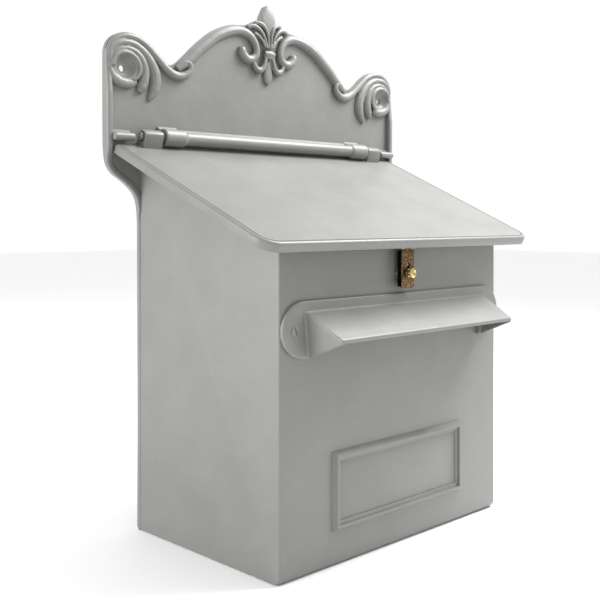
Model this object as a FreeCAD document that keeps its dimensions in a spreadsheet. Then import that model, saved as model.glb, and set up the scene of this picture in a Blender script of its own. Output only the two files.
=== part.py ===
import FreeCAD, Part
import math
import os
import re

import Sketcher
from FreeCAD import Placement, Rotation, Vector

# A wall-mounted cast letter box. X is across it, -Y points out of its front, Z is up.
# Y = 0 is the wall. The pieces are drawn with Z = 0 under the floor and then lowered, so that
# the origin lies midway between the two wall-fixing holes.

document = FreeCAD.newDocument("wall_mailbox")
sheet = document.addObject("Spreadsheet::Sheet", "dims")

sizes = {
    # box
    "front_half": 140.0,
    "wall_half": 151.5,
    "body_depth": 184.0,
    "wall": 4.0,
    "bottom_round": 7.0,
    "flange_width": 16.0,
    "lid_gap": 1.0,
    # back plate
    "plate_half": 187.5,
    "web": 4.5,
    "rim_height": 10.8,
    "rim_width": 5.5,
    "relief_root": 0.7,
    "fixing_height": 418.0,
    "fixing_half": 170.0,
    "fixing_radius": 3.25,
    "rail_radius": 5.0,
    "roll_radius": 6.3,
    "collar_radius": 8.2,
    "collar_inner": 112.0,
    "collar_outer": 134.4,
    "stub_inner": 160.5,
    # hinge line
    "hinge_out": 14.9,
    "hinge_height": 357.3,
    "lug_inner": 136.2,
    "lug_outer": 156.0,
    "lug_radius": 6.2,
    "pin_radius": 3.0,
    "pin_head": 3.8,
    "pin_play": 0.06,
    # lid, in its own slanted plane
    "lid_angle": 23.3,
    "lid_drop": 8.8,
    "lid_front": 212.0,
    "lid_back": 2.8,
    "lid_front_half": 170.2,
    "lid_back_half": 181.2,
    "lid_sheet": 5.0,
    "lid_edge": 8.2,
    "lid_band": 12.0,
    "lid_reveal": 2.2,
    "lid_corner": 16.0,
    "lid_step": 1.2,
    "pad_half": 14.0,
    "pad_back": 192.7,
    "pad_drop": 9.2,
    # letter slot and hood
    "hood_half": 140.5,
    "hood_middle": 196.0,
    "hood_radius": 23.0,
    "hood_plate": 4.0,
    "hood_sheet": 2.6,
    "hood_root": 1.0,
    "ridge_half": 117.0,
    "ridge_height": 210.0,
    "cheek_half": 113.5,
    "cheek_height": 174.5,
    "lip_half": 111.0,
    "lip_out": 223.8,
    "lip_height": 190.7,
    "lip_edge": 3.0,
    "slot_half": 104.0,
    "slot_low": 179.0,
    "slot_high": 205.0,
    "hood_screw_half": 128.0,
    # name frame
    "frame_half": 85.0,
    "frame_low": 29.0,
    "frame_high": 94.2,
    "frame_bevel": 4.0,
    "frame_height": 4.4,
    "window_margin": 10.0,
    "blank_thick": 1.2,
    # hasp
    "strap_half": 8.3,
    "strap_lead": 1.5,
    "strap_thick": 1.5,
    "strap_low": 223.2,
    "hasp_reach": 201.5,
    "hasp_drop": 20.5,
    "leaf_back": 193.4,
    "leaf_screw_reach": 196.1,
    "leaf_screw_half": 4.4,
    "knuckle_gap": 0.3,
    "knuckle_half": 2.7,
    "knuckle_radius": 2.4,
    "hasp_pin_radius": 1.1,
    "leaf_thick": 1.4,
    "strap_slot_half": 2.2,
    "strap_slot_low": 233.0,
    "strap_slot_high": 248.6,
    "knob_height": 236.2,
    "knob_radius": 4.3,
    "knob_thick": 5.0,
    "shank_radius": 2.1,
    "tail_radius": 1.5,
    "rivet_radius": 0.9,
    "knob_gap": 0.3,
    "washer_radius": 4.6,
    "washer_thick": 0.8,
    "bar_half": 4.4,
    "bar_side": 1.5,
    "bar_thick": 2.0,
    "keeper_half": 9.0,
    "keeper_low": 229.0,
    "keeper_high": 243.4,
    "keeper_base": 1.0,
    "keeper_cavity": 3.0,
    "keeper_lip": 1.3,
    "keeper_cavity_half": 5.2,
    "keeper_gap_half": 2.0,
    # fasteners
    "shell_screw_radius": 2.5,
    "shell_head_radius": 4.4,
    "shell_nut": 4.6,
    "shell_nut_thick": 4.0,
    "hood_screw_radius": 2.0,
    "hood_head_radius": 3.8,
    "hood_nut": 4.0,
    "hood_nut_thick": 3.2,
    "small_screw_radius": 1.25,
    "small_head_radius": 2.3,
}
for row, (alias, size) in enumerate(sizes.items(), start=1):
    sheet.set(f"A{row}", alias.replace("_", " "))
    sheet.set(f"B{row}", str(size))
    sheet.setAlias(f"B{row}", alias)
gauge = document.addObject("App::FeaturePython", "gauge")
gauge.addProperty("App::PropertyFloat", "number")
document.recompute()

ACROSS = Vector(1, 0, 0)
FORWARD = Vector(0, -1, 0)
UP = Vector(0, 0, 1)
WORD = re.compile(r"[a-z]+(?:_[a-z]+)*")


def linked(text):
    # Turns the names of driving sizes in an expression into references to the sheet.
    return WORD.sub(lambda word: "dims." + word.group() if word.group() in sizes else word.group(), str(text))


def value(text):
    # What an expression comes to now: the gauge is an empty object whose one number is bound.
    gauge.setExpression("number", linked(text))
    gauge.recompute()
    return gauge.number


def bind(thing, **settings):
    for name, text in settings.items():
        thing.setExpression(name, linked(text))


def bindPlace(thing, place):
    for axis, text in zip("xyz", place):
        thing.setExpression(f"Placement.Base.{axis}", linked(text))


def block(name, low, high):
    box = document.addObject("Part::Box", name)
    for side, start, end in zip(("Length", "Width", "Height"), low, high):
        box.setExpression(side, linked(f"({end}) - ({start})"))
    bindPlace(box, low)
    return box


def rod(name, radius, length, start, direction):
    cylinder = document.addObject("Part::Cylinder", name)
    bind(cylinder, Radius=radius, Height=length)
    cylinder.Placement = Placement(Vector(), Rotation(UP, direction))
    bindPlace(cylinder, start)
    return cylinder


def cone(name, wide, narrow, length, start, direction):
    taper = document.addObject("Part::Cone", name)
    bind(taper, Radius1=wide, Radius2=narrow, Height=length)
    taper.Placement = Placement(Vector(), Rotation(UP, direction))
    bindPlace(taper, start)
    return taper


def hexagon(name, circumradius, length, start, direction):
    prism = document.addObject("Part::Prism", name)
    prism.Polygon = 6
    bind(prism, Circumradius=circumradius, Height=length)
    prism.Placement = Placement(Vector(), Rotation(UP, direction))
    bindPlace(prism, start)
    return prism


def fused(name, things):
    joined = document.addObject("Part::MultiFuse", name)
    joined.Shapes = things
    return joined


def shared(name, things):
    common = document.addObject("Part::MultiCommon", name)
    common.Shapes = things
    return common


def less(name, base, tools):
    rest = document.addObject("Part::Cut", name)
    rest.Base = base
    rest.Tool = tools[0] if len(tools) == 1 else fused(name + "_tools", tools)
    return rest


def group(name, things):
    together = document.addObject("Part::Compound", name)
    together.Links = things
    return together


def drawOutline(sketch, points):
    # points: (x, y) corners, each bound to the sheet; (x, y, "arc") marks a point that an arc
    # passes through on its way from the corner before it to the corner after it.
    def at(point):
        return Vector(value(point[0]), value(point[1]), 0)

    count = len(points)
    index = 0
    first = None
    previous = None
    while index < count:
        start = points[index]
        middle = points[(index + 1) % count]
        curved = len(middle) == 3
        end = points[(index + 2) % count] if curved else middle
        if curved:
            # A sketch counts an arc's ends anticlockwise.
            clockwise = (at(middle) - at(start)).cross(at(end) - at(start)).z < 0
            ends = (at(end), at(start)) if clockwise else (at(start), at(end))
            line = sketch.addGeometry(Part.Arc(ends[0], at(middle), ends[1]), False)
            head, tail = (2, 1) if clockwise else (1, 2)
            through = sketch.addGeometry(Part.Point(at(middle)), True)
            fixPoint(sketch, through, 1, middle)
            sketch.addConstraint(Sketcher.Constraint("PointOnObject", through, 1, line))
        else:
            line = sketch.addGeometry(Part.LineSegment(at(start), at(end)), False)
            head, tail = 1, 2
        fixPoint(sketch, line, head, start)
        if previous:
            sketch.addConstraint(Sketcher.Constraint("Coincident", *previous, line, head))
        first = first or (line, head)
        previous = (line, tail)
        index += 2 if curved else 1
    sketch.addConstraint(Sketcher.Constraint("Coincident", *previous, *first))


def fixPoint(sketch, geometry, vertex, point):
    for kind, text in (("DistanceX", point[0]), ("DistanceY", point[1])):
        number = sketch.addConstraint(Sketcher.Constraint(kind, -1, 1, geometry, vertex, value(text)))
        sketch.setExpression(f"Constraints[{number}]", linked(text))


def drawCircle(sketch, x, y, radius):
    circle = sketch.addGeometry(Part.Circle(Vector(value(x), value(y), 0), UP, value(radius)), False)
    fixPoint(sketch, circle, 3, (x, y))
    number = sketch.addConstraint(Sketcher.Constraint("Radius", circle, value(radius)))
    sketch.setExpression(f"Constraints[{number}]", linked(radius))


def newBody(label):
    body = document.addObject("PartDesign::Body", label + "_body")
    body.Label = label
    return body


def sketchOn(body, role, offset="0", outline=None):
    plane = next(item for item in body.Origin.OriginFeatures if item.Role == role)
    sketch = body.newObject("Sketcher::SketchObject", body.Label + "_sketch")
    sketch.AttachmentSupport = [(plane, "")]
    sketch.MapMode = "FlatFace"
    sketch.setExpression("AttachmentOffset.Base.z", linked(offset))
    if outline:
        drawOutline(sketch, outline)
    return sketch


def pad(body, sketch, length, both=False):
    feature = body.newObject("PartDesign::Pad", body.Label + "_pad")
    feature.Profile = sketch
    bind(feature, Length=length)
    feature.Midplane = both
    document.recompute()
    return feature


def pocket(body, sketch, depth, both=False, forward=True):
    before = body.Shape.Volume
    feature = body.newObject("PartDesign::Pocket", body.Label + "_pocket")
    feature.Profile = sketch
    bind(feature, Length=depth)
    feature.Midplane = both
    feature.Reversed = forward
    document.recompute()
    if not body.Shape.Volume < before - 1e-6:
        raise ValueError("a pocket of " + body.Label + " cuts nothing")
    return feature


def rectangle(left, right, low, high):
    return [(left, low), (right, low), (right, high), (left, high)]


def edgesWhere(shape, test):
    return [f"Edge{number}" for number, edge in enumerate(shape.Edges, start=1) if test(edge)]


def softened(body, base, kind, size, test):
    feature = body.newObject("PartDesign::" + kind, body.Label + "_" + kind.lower())
    feature.Base = (base, edgesWhere(base.Shape, test))
    bind(feature, **{"Radius" if kind == "Fillet" else "Size": size})
    document.recompute()
    return feature


# ---------------------------------------------------------------- shared outlines

HALF_CREST = [
    ("wall_half", "0"),
    ("wall_half", "293"),
    ("wall_half + 3", "303", "arc"),
    ("wall_half + 10", "311"),
    ("plate_half - 11", "321.5"),
    ("plate_half - 2.5", "329", "arc"),
    ("plate_half", "341"),
    ("plate_half + 1", "429"),
    ("plate_half - 5.5", "444", "arc"),
    ("plate_half - 20.5", "450.8"),
    ("fixing_half - 19.5", "447.3", "arc"),
    ("fixing_half - 29.5", "440.6"),
    ("fixing_half - 41", "430"),
    ("fixing_half - 51.5", "425.8", "arc"),
    ("fixing_half - 62", "430.5"),
    ("fixing_half - 84.5", "455.5"),
    ("fixing_half - 107", "469.5", "arc"),
    ("fixing_half - 132", "475.8"),
    ("24", "478"),
    ("13", "486", "arc"),
    ("8", "495"),
]


HALF_RECESS = [
    ("wall_half - 3", "290"),
    ("wall_half + 0.5", "309", "arc"),
    ("wall_half + 8", "317"),
    ("plate_half - 14", "327"),
    ("plate_half - rim_width - 2", "334", "arc"),
    ("plate_half - rim_width", "343"),
    ("plate_half - rim_width", "400"),
    ("fixing_half", "397.5", "arc"),
    ("fixing_half - 14", "405"),
    ("fixing_half - 24", "424"),
    ("fixing_half - 52", "418.5", "arc"),
    ("fixing_half - 66", "424.5"),
    ("fixing_half - 89", "449.5"),
    ("fixing_half - 108", "462", "arc"),
    ("fixing_half - 134", "468.5"),
]


def mirroredPoint(point):
    return ("-(" + point[0] + ")",) + point[1:]


def bothHalves(half, middle=()):
    return half + list(middle) + [mirroredPoint(point) for point in reversed(half)]


def plainSketch(name, direction, outline):
    # A free sketch whose normal is the given direction and whose own Y axis is up.
    sketch = document.addObject("Sketcher::SketchObject", name)
    turn = Rotation(Vector(0, 0, 0), 0)
    if direction == "front":
        turn = Rotation(ACROSS, 90)
    if direction == "side":
        turn = Rotation(Vector(1, 1, 1), 120)
    sketch.Placement = Placement(Vector(), turn)
    drawOutline(sketch, outline)
    return sketch


def slab(name, sketch, length, start="0", both=False):
    extrusion = document.addObject("Part::Extrusion", name)
    extrusion.Base = sketch
    extrusion.DirMode = "Normal"
    extrusion.Solid = True
    extrusion.Symmetric = both
    bind(extrusion, LengthFwd=length)
    extrusion.setExpression("Placement.Base.y", linked(f"-({start})"))
    return extrusion


# ---------------------------------------------------------------- wall plate

# outer and inner radius of the two grooves round a scroll's eye
SCROLL_GROOVES = (("13.6", "12.2"), ("20.4", "18.8"))
GROOVE_DEPTH = "2"

# degrees that the sides of a raised shape lean inwards
RELIEF_SLANT = 25


def relief(name, outline, height, slant=RELIEF_SLANT):
    # A raised shape on the plate's face with slanting sides.
    raised = slab(name, plainSketch(name + "_outline", "front", outline), height, "web - relief_root")
    raised.TaperAngle = -slant
    return raised


def leaf(name, foot, tip, bulge, height):
    # A pointed leaf from its foot to its tip, with the same bulge on both sides.
    middle = [f"(({start}) + ({end})) / 2" for start, end in zip(foot, tip)]
    run, rise = [value(f"({end}) - ({start})") for start, end in zip(foot, tip)]
    length = math.hypot(run, rise)
    sides = []
    for sign in (-1, 1):
        across = f"{middle[0]} + ({sign} * {bulge}) * {rise / length:.5f}"
        upward = f"{middle[1]} - ({sign} * {bulge}) * {run / length:.5f}"
        sides.append((across, upward, "arc"))
    return relief(name, [foot, sides[0], tip, sides[1]], height)


def crestOrnament():
    raised = [
        leaf("fleur_bud", ("0", "459"), ("0", "499.5"), "8.5", "8.5"),
        leaf("fleur_drop", ("0", "455.5"), ("0", "420.2"), "7.5", "7.5"),
        block("fleur_band", ("-10", "-13.2", "454"), ("10", "-(web - relief_root)", "461.3")),
    ]
    for side in (-1, 1):
        tag = "left" if side < 0 else "right"
        raised.append(leaf(f"petal_{tag}", (f"{side} * 3", "458"), (f"{side} * 21", "484"), "6", "7"))
        raised.append(leaf(f"hook_{tag}", (f"{side} * 3", "457"), (f"{side} * 16", "438"), "4.5", "6"))
        raised.append(leaf(f"spray_{tag}", (f"{side} * 140", "446"), (f"{side} * 150", "402"), "6", "6"))
    return raised


# screws through the back plate into the shell's flanges
SHELL_SCREW_HEIGHTS = (30, 170, 300)
SHELL_SCREW_ACROSS = "(wall_half - wall - 9)"


def hingeRail():
    pieces = []
    axis = ("-hinge_out", "hinge_height")
    pieces.append(rod("roll", "roll_radius", "2 * collar_inner", ("-collar_inner", *axis), ACROSS))
    foot = "hinge_height - 2"
    low = ("-collar_inner", axis[0], foot)
    pieces.append(block("roll_rib", low, ("collar_inner", "-2", "hinge_height + roll_radius")))
    for side in (-1, 1):
        tag = "left" if side < 0 else "right"
        start = "collar_inner" if side > 0 else "-collar_outer"
        end = "collar_outer" if side > 0 else "-collar_inner"
        length = "collar_outer - collar_inner"
        pieces.append(rod(f"collar_{tag}", "collar_radius", length, (start, *axis), ACROSS))
        high = (end, "-2", "hinge_height + collar_radius")
        pieces.append(block(f"collar_rib_{tag}", (start, axis[0], foot), high))
        start = "stub_inner" if side > 0 else "-(plate_half - 4)"
        end = "plate_half - 4" if side > 0 else "-stub_inner"
        length = "plate_half - 4 - stub_inner"
        pieces.append(rod(f"stub_{tag}", "rail_radius", length, (start, *axis), ACROSS))
        high = (end, "-2", "hinge_height + rail_radius")
        pieces.append(block(f"stub_rib_{tag}", (start, axis[0], foot), high))
    return pieces


def makeBackPlate():
    crest = bothHalves(HALF_CREST, [("0", "501.5", "arc")])
    outer = slab("plate_outer", plainSketch("plate_outline", "front", crest), "rim_height")
    recess = plainSketch("recess_outline", "front", bothHalves(HALF_RECESS))
    hollow = slab("recess", recess, "rim_height", "web")
    low = ("-wall_half - 1", "-rim_height - 1", "0")
    lower = block("behind_shell", low, ("wall_half + 1", "-web", "306"))
    tray = less("tray", outer, [hollow, lower])
    blank = fused("plate_blank", [tray] + crestOrnament() + hingeRail())
    low = ("-wall_half - 1", "-bottom_round", "-1")
    heel = block("heel", low, ("wall_half + 1", "1", "bottom_round"))
    start = ("-wall_half - 2", "-bottom_round", "bottom_round")
    turn = rod("heel_round", "bottom_round", "2 * wall_half + 4", start, ACROSS)
    holes = [less("heel_waste", heel, [turn])]
    for side in (-1, 1):
        tag = "left" if side < 0 else "right"
        eye = (f"{side} * fixing_half", "1", "fixing_height")
        holes.append(rod(f"fixing_hole_{tag}", "fixing_radius", "40", eye, FORWARD))
        dish = (eye[0], "-web + 0.6", eye[2])
        holes.append(cone(f"fixing_dish_{tag}", "fixing_radius + 1", "fixing_radius + 5", "8", dish, FORWARD))
        for ring, (outer, inner) in enumerate(SCROLL_GROOVES):
            start = (eye[0], f"-rim_height + {GROOVE_DEPTH}", f"fixing_height + {3 * ring}")
            groove = rod(f"groove_{tag}_{ring}", outer, "6", start, FORWARD)
            core = rod(f"groove_core_{tag}_{ring}", inner, "6", start, FORWARD)
            holes.append(less(f"groove_ring_{tag}_{ring}", groove, [core]))
        start = "collar_outer - 18.4" if side > 0 else "-collar_outer - 1"
        axis = ("-hinge_out", "hinge_height")
        holes.append(rod(f"pin_bore_{tag}", "pin_radius", "19.4", (start, *axis), ACROSS))
        for height in SHELL_SCREW_HEIGHTS:
            name = f"{tag}_{height}"
            place = (f"{side} * {SHELL_SCREW_ACROSS}", "1", str(height))
            holes.append(rod(f"plate_screw_{name}", "shell_screw_radius", "20", place, FORWARD))
            place = (place[0], "0", place[2])
            sink = ("shell_head_radius", "shell_screw_radius", "2.5")
            holes.append(cone(f"plate_sink_{name}", *sink, place, FORWARD))
    return less("back_plate", blank, holes)

# ---------------------------------------------------------------- body shell


# small screws from inside the shell
KEEPER_SCREW_ACROSS = "(keeper_half - 1.9)"
KEEPER_SCREW_HEIGHT = "(keeper_low + keeper_high) / 2"
FRAME_SCREW_ACROSS = "(frame_half - 5)"
FRAME_SCREW_HEIGHTS = ("frame_low + 5", "frame_high - 5")


def planOutline(inset, front):
    rate = "(wall_half - front_half) / body_depth"
    back = f"wall_half - {rate} * web - ({inset})"
    face = f"front_half - ({inset})"
    return [("-(" + back + ")", "-web"), ("-(" + face + ")", front), (face, front), (back, "-web")]


def sideOutline(inset, back, openTop):
    top = "hinge_height - (lid_drop + lid_sheet) / cos(lid_angle) - lid_gap"
    front = f"-body_depth + ({inset})"
    lift = "40" if openTop else "0"
    low = str(inset)
    turn = f"(bottom_round - ({inset}) * 0.5)"
    bend = f"{turn} * 0.2929"
    return [
        (back, f"{low} + {turn}"),
        (f"{back} - {bend}", f"{low} + {bend}", "arc"),
        (f"{back} - {turn}", low),
        (f"{front} + {turn}", low),
        (f"{front} + {bend}", f"{low} + {bend}", "arc"),
        (front, f"{low} + {turn}"),
        (front, f"{top} - tan(lid_angle) * (body_depth - ({inset}) - hinge_out) + {lift}"),
        (back, f"{top} - tan(lid_angle) * (-({back}) - hinge_out) + {lift}"),
    ]


def shellBlank(name, inset, openTop):
    plan = plainSketch(name + "_plan", "top", planOutline(inset, f"-body_depth + ({inset})"))
    tall = document.addObject("Part::Extrusion", name + "_tall")
    tall.Base = plan
    tall.DirMode = "Normal"
    tall.Solid = True
    tall.LengthFwd = 500
    side = plainSketch(name + "_side", "side", sideOutline(inset, "-web" if openTop else "0", openTop))
    wide = slab(name + "_wide", side, "2 * wall_half + 40", "0", True)
    return shared(name + "_blank", [tall, wide])


def makeBodyShell():
    outer = shellBlank("shell_outer", "0", False)
    inner = shellBlank("shell_inner", "wall", True)
    tub = less("tub", outer, [inner])
    flanges = []
    cuts = []
    for side in (-1, 1):
        tag = "left" if side < 0 else "right"
        edge = "wall_half - wall - 0.4"
        ends = (f"{side} * ({edge} - flange_width)", f"{side} * ({edge})")
        low, high = ends if side > 0 else ends[::-1]
        flanges.append(block(f"flange_{tag}", (low, "-web - wall", "wall - 1"), (high, "-web", "322")))
        for height in SHELL_SCREW_HEIGHTS:
            place = (f"{side} * {SHELL_SCREW_ACROSS}", "1", str(height))
            cuts.append(rod(f"flange_hole_{tag}_{height}", "shell_screw_radius", "20", place, FORWARD))
        inside = "-body_depth + 10"
        place = (f"{side} * hood_screw_half", inside, "hood_middle")
        cuts.append(rod(f"hood_hole_{tag}", "hood_screw_radius", "20", place, FORWARD))
        place = (f"{side} * {KEEPER_SCREW_ACROSS}", inside, KEEPER_SCREW_HEIGHT)
        cuts.append(rod(f"keeper_hole_{tag}", "small_screw_radius", "20", place, FORWARD))
        for height in FRAME_SCREW_HEIGHTS:
            place = (f"{side} * {FRAME_SCREW_ACROSS}", inside, height)
            cuts.append(rod("frame_hole", "small_screw_radius", "20", place, FORWARD))
    low = ("-slot_half", "-body_depth - 5", "slot_low")
    cuts.append(block("letter_slot", low, ("slot_half", "-body_depth + 10", "slot_high")))
    return less("body_shell", fused("shell_blank", [tub] + flanges), cuts)


# ---------------------------------------------------------------- fasteners


def eachSide(heights):
    for side in (-1, 1):
        for height in heights:
            yield side, height


def makeShellScrews():
    screws = []
    for side, height in eachSide(SHELL_SCREW_HEIGHTS):
        tag = ("left" if side < 0 else "right") + f"_{height}"
        spot = f"{side} * {SHELL_SCREW_ACROSS}"
        place = (spot, "0", str(height))
        sink = ("shell_head_radius", "shell_screw_radius", "2.5")
        head = cone(f"shell_head_{tag}", *sink, place, FORWARD)
        reach = "web + wall + shell_nut_thick + 1"
        stem = rod(f"shell_stem_{tag}", "shell_screw_radius", reach, place, FORWARD)
        low = (f"{spot} - 3", "-0.8", f"{height} - 0.4")
        slot = block(f"shell_driver_{tag}", low, (f"{spot} + 3", "1", f"{height} + 0.4"))
        blank = fused(f"shell_screw_blank_{tag}", [head, stem])
        screws.append(less(f"shell_screw_{tag}", blank, [slot]))
    return group("shell_screws", screws)


def makeNuts(name, places, size, thickness, bore, direction):
    nuts = []
    for index, place in enumerate(places):
        nut = hexagon(f"{name}_hex_{index}", size, thickness, place, direction)
        hole = rod(f"{name}_bore_{index}", bore, thickness, place, direction)
        nuts.append(less(f"{name}_{index}", nut, [hole]))
    return group(name, nuts)


def makeShellNuts():
    places = []
    for side, height in eachSide(SHELL_SCREW_HEIGHTS):
        places.append((f"{side} * {SHELL_SCREW_ACROSS}", "-web - wall", str(height)))
    return makeNuts("shell_nuts", places, "shell_nut", "shell_nut_thick", "shell_screw_radius", FORWARD)


def makeHoodScrews():
    screws = []
    front = "-body_depth - hood_plate"
    for side in (-1, 1):
        tag = "left" if side < 0 else "right"
        spot = f"{side} * hood_screw_half"
        place = (spot, front, "hood_middle")
        sink = ("hood_head_radius", "hood_screw_radius", "1.8")
        head = cone(f"hood_head_{tag}", *sink, place, -FORWARD)
        raised = ("hood_head_radius", "hood_head_radius * 0.55", "1.1")
        dome = cone(f"hood_dome_{tag}", *raised, place, FORWARD)
        reach = "hood_plate + wall + hood_nut_thick + 1"
        stem = rod(f"hood_stem_{tag}", "hood_screw_radius", reach, place, -FORWARD)
        low = (f"{spot} - 4", f"{front} - 2", "hood_middle - 0.45")
        high = (f"{spot} + 4", f"{front} - 0.3", "hood_middle + 0.45")
        slot = block(f"hood_driver_{tag}", low, high)
        blank = fused(f"hood_screw_blank_{tag}", [head, dome, stem])
        screws.append(less(f"hood_screw_{tag}", blank, [slot]))
    return group("hood_screws", screws)


def makeHoodNuts():
    places = [(f"{side} * hood_screw_half", "-body_depth + wall", "hood_middle") for side in (-1, 1)]
    return makeNuts("hood_nuts", places, "hood_nut", "hood_nut_thick", "hood_screw_radius", -FORWARD)


def smallScrew(name, place, reach, direction):
    # Cheese-headed screw: place is under the head, and the stem runs along the direction.
    head = rod(name + "_head", "small_head_radius", "1.6", place, -direction)
    stem = rod(name + "_stem", "small_screw_radius", reach, place, direction)
    return fused(name, [head, stem])


def makeFrameScrews():
    screws = []
    for side, height in eachSide(FRAME_SCREW_HEIGHTS):
        place = (f"{side} * {FRAME_SCREW_ACROSS}", "-body_depth + wall", height)
        reach = "wall + frame_height - 2"
        screws.append(smallScrew(f"frame_screw_{len(screws)}", place, reach, FORWARD))
    return group("name_frame_screws", screws)


def makeKeeperScrews():
    screws = []
    for side in (-1, 1):
        place = (f"{side} * {KEEPER_SCREW_ACROSS}", "-body_depth + wall", KEEPER_SCREW_HEIGHT)
        screws.append(smallScrew(f"keeper_screw_{len(screws)}", place, "wall + 4", FORWARD))
    return group("keeper_screws", screws)


# ---------------------------------------------------------------- letter hood

# fall and run of the awning's roof
SLOPE = (
    value("ridge_height - lip_height"),
    value("lip_out - body_depth - hood_plate"),
)


def hoodWedge(name, foot, reach, inset, fall):
    # Ruled solid between two matching triangular cheeks. The inset narrows it and lowers its
    # roof, and the fall lowers its open side.
    wedge = document.addObject("Part::Feature", name)
    drop, run = SLOPE
    roof = value(inset) * math.hypot(drop, run) / run
    overrun = (value(reach) - value("lip_out")) * drop / run
    cheeks = []
    for side in (-1, 1):
        top = Vector(side * value(f"ridge_half - {inset}"), -value(foot), value("ridge_height") - roof)
        lip = Vector(side * value(f"lip_half - {inset}"), -value(reach), value("lip_height") - roof - overrun)
        toe = Vector(side * value(f"cheek_half - {inset}"), -value(foot), value(f"cheek_height - {fall}"))
        cheeks.append(Part.makePolygon([top, lip, toe, top]))
    wedge.Shape = Part.makeLoft(cheeks, True, True)
    return wedge


def makeLetterHood():
    end = "hood_half - hood_radius"
    high = "hood_middle + hood_radius"
    low = "hood_middle - hood_radius"
    outline = [
        ("-(" + end + ")", low),
        (end, low),
        ("hood_half", "hood_middle", "arc"),
        (end, high),
        ("-(" + end + ")", high),
        ("-hood_half", "hood_middle", "arc"),
    ]
    plate = slab("hood_base", plainSketch("hood_outline", "front", outline), "hood_plate", "body_depth")
    face = "body_depth + hood_plate"
    wedge = hoodWedge("hood_wedge", face + " - hood_root", "lip_out + lip_edge", "0", "0")
    inside = hoodWedge("hood_inside", face, "lip_out + 3 * lip_edge", "hood_sheet", "12")
    low = ("-hood_half", "-lip_out", "hood_middle - hood_radius")
    high = ("hood_half", f"-({face}) + hood_root", "hood_middle + hood_radius")
    solid = shared("awning_solid", [wedge, block("hood_reach", low, high)])
    shell = fused("hood_shell", [plate, less("awning", solid, [inside])])
    # the mouth runs down past the plate, so the wall shows between the cheeks
    half = "cheek_half - hood_sheet - 1"
    low = (f"-({half})", f"-({face}) - 1", "hood_middle - hood_radius - 1")
    high = (half, "-body_depth + 1", "slot_high")
    tools = [block("hood_mouth", low, high)]
    for side in (-1, 1):
        tag = "left" if side < 0 else "right"
        spot = f"{side} * hood_screw_half"
        front = "-body_depth - hood_plate"
        place = (spot, "-body_depth + 1", "hood_middle")
        tools.append(rod(f"hood_bore_{tag}", "hood_screw_radius", "hood_plate + 2", place, FORWARD))
        sink = ("hood_head_radius", "hood_screw_radius", "1.8")
        tools.append(cone(f"hood_sink_{tag}", *sink, (spot, front, "hood_middle"), -FORWARD))
    return less("letter_hood", shell, tools)


# ---------------------------------------------------------------- name frame


# left, right, bottom and top of the frame's window
FRAME_WINDOW = (
    "-frame_half + window_margin",
    "frame_half - window_margin",
    "frame_low + 7.5",
    "frame_high - 7.5",
)


def makeNameFrame():
    body = newBody("name_frame")
    outline = rectangle("-frame_half", "frame_half", "frame_low", "frame_high")
    base = pad(body, sketchOn(body, "XZ_Plane", "body_depth", outline), "frame_height")
    front = value("-body_depth - frame_height")
    onFront = lambda edge: abs(edge.CenterOfMass.y - front) < 1e-3
    rim = softened(body, base, "Chamfer", "frame_bevel - 0.4", onFront)
    rim.ChamferType = 1
    bind(rim, Size2="frame_height - 0.8")
    window = rectangle(*FRAME_WINDOW)
    pocket(body, sketchOn(body, "XZ_Plane", "body_depth", window), "frame_height")
    for side, height in eachSide(FRAME_SCREW_HEIGHTS):
        hole = sketchOn(body, "XZ_Plane", "body_depth")
        drawCircle(hole, f"{side} * {FRAME_SCREW_ACROSS}", height, "small_screw_radius")
        pocket(body, hole, "frame_height - 2")
    return body


def makeNameBlank():
    body = newBody("name_blank")
    window = rectangle(*FRAME_WINDOW)
    pad(body, sketchOn(body, "XZ_Plane", "body_depth", window), "blank_thick")
    return body


# ---------------------------------------------------------------- hinge pins


def makeLeftPin():
    return hingePin("left", -1)


def makeRightPin():
    return hingePin("right", 1)


def hingePin(tag, side):
    start = "collar_outer - 18.4" if side > 0 else "-lug_outer - 1"
    axis = ("-hinge_out", "hinge_height")
    stem = rod(f"pin_stem_{tag}", "pin_radius", "lug_outer + 1 - collar_outer + 18.4", (start, *axis), ACROSS)
    out = ACROSS * side
    foot = (f"{side} * (lug_outer + 0.3)", *axis)
    head = rod(f"pin_flange_{tag}", "pin_head", "1.2", foot, out)
    top = (f"{side} * (lug_outer + 1.5)", *axis)
    dome = cone(f"pin_dome_{tag}", "pin_head", "pin_head * 0.6", "1", top, out)
    return fused(f"hinge_pin_{tag}", [stem, head, dome])


# ---------------------------------------------------------------- lid


def lidOutline(inset, overrun="0"):
    # Drawn in the lid's own plane: its Y axis runs from the front edge to the wall.
    rate = "(lid_back_half - lid_front_half) / (lid_front + lid_back)"
    front = f"-lid_front + ({inset})"
    back = f"lid_back + {overrun}"
    corner = f"(lid_corner - ({inset}))"
    bend = f"{corner} * 0.2929"
    halfFront = f"lid_front_half - ({inset})"
    halfBend = f"{halfFront} + {rate} * {corner}"
    halfBack = f"lid_back_half - ({inset})"
    right = [
        (f"{halfFront} - {corner}", front),
        (f"{halfFront} - {bend} * 0.96", f"{front} + {bend}", "arc"),
        (halfBend, f"{front} + {corner}"),
        (halfBack, back),
    ]
    return right + [mirroredPoint(point) for point in reversed(right)]


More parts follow.
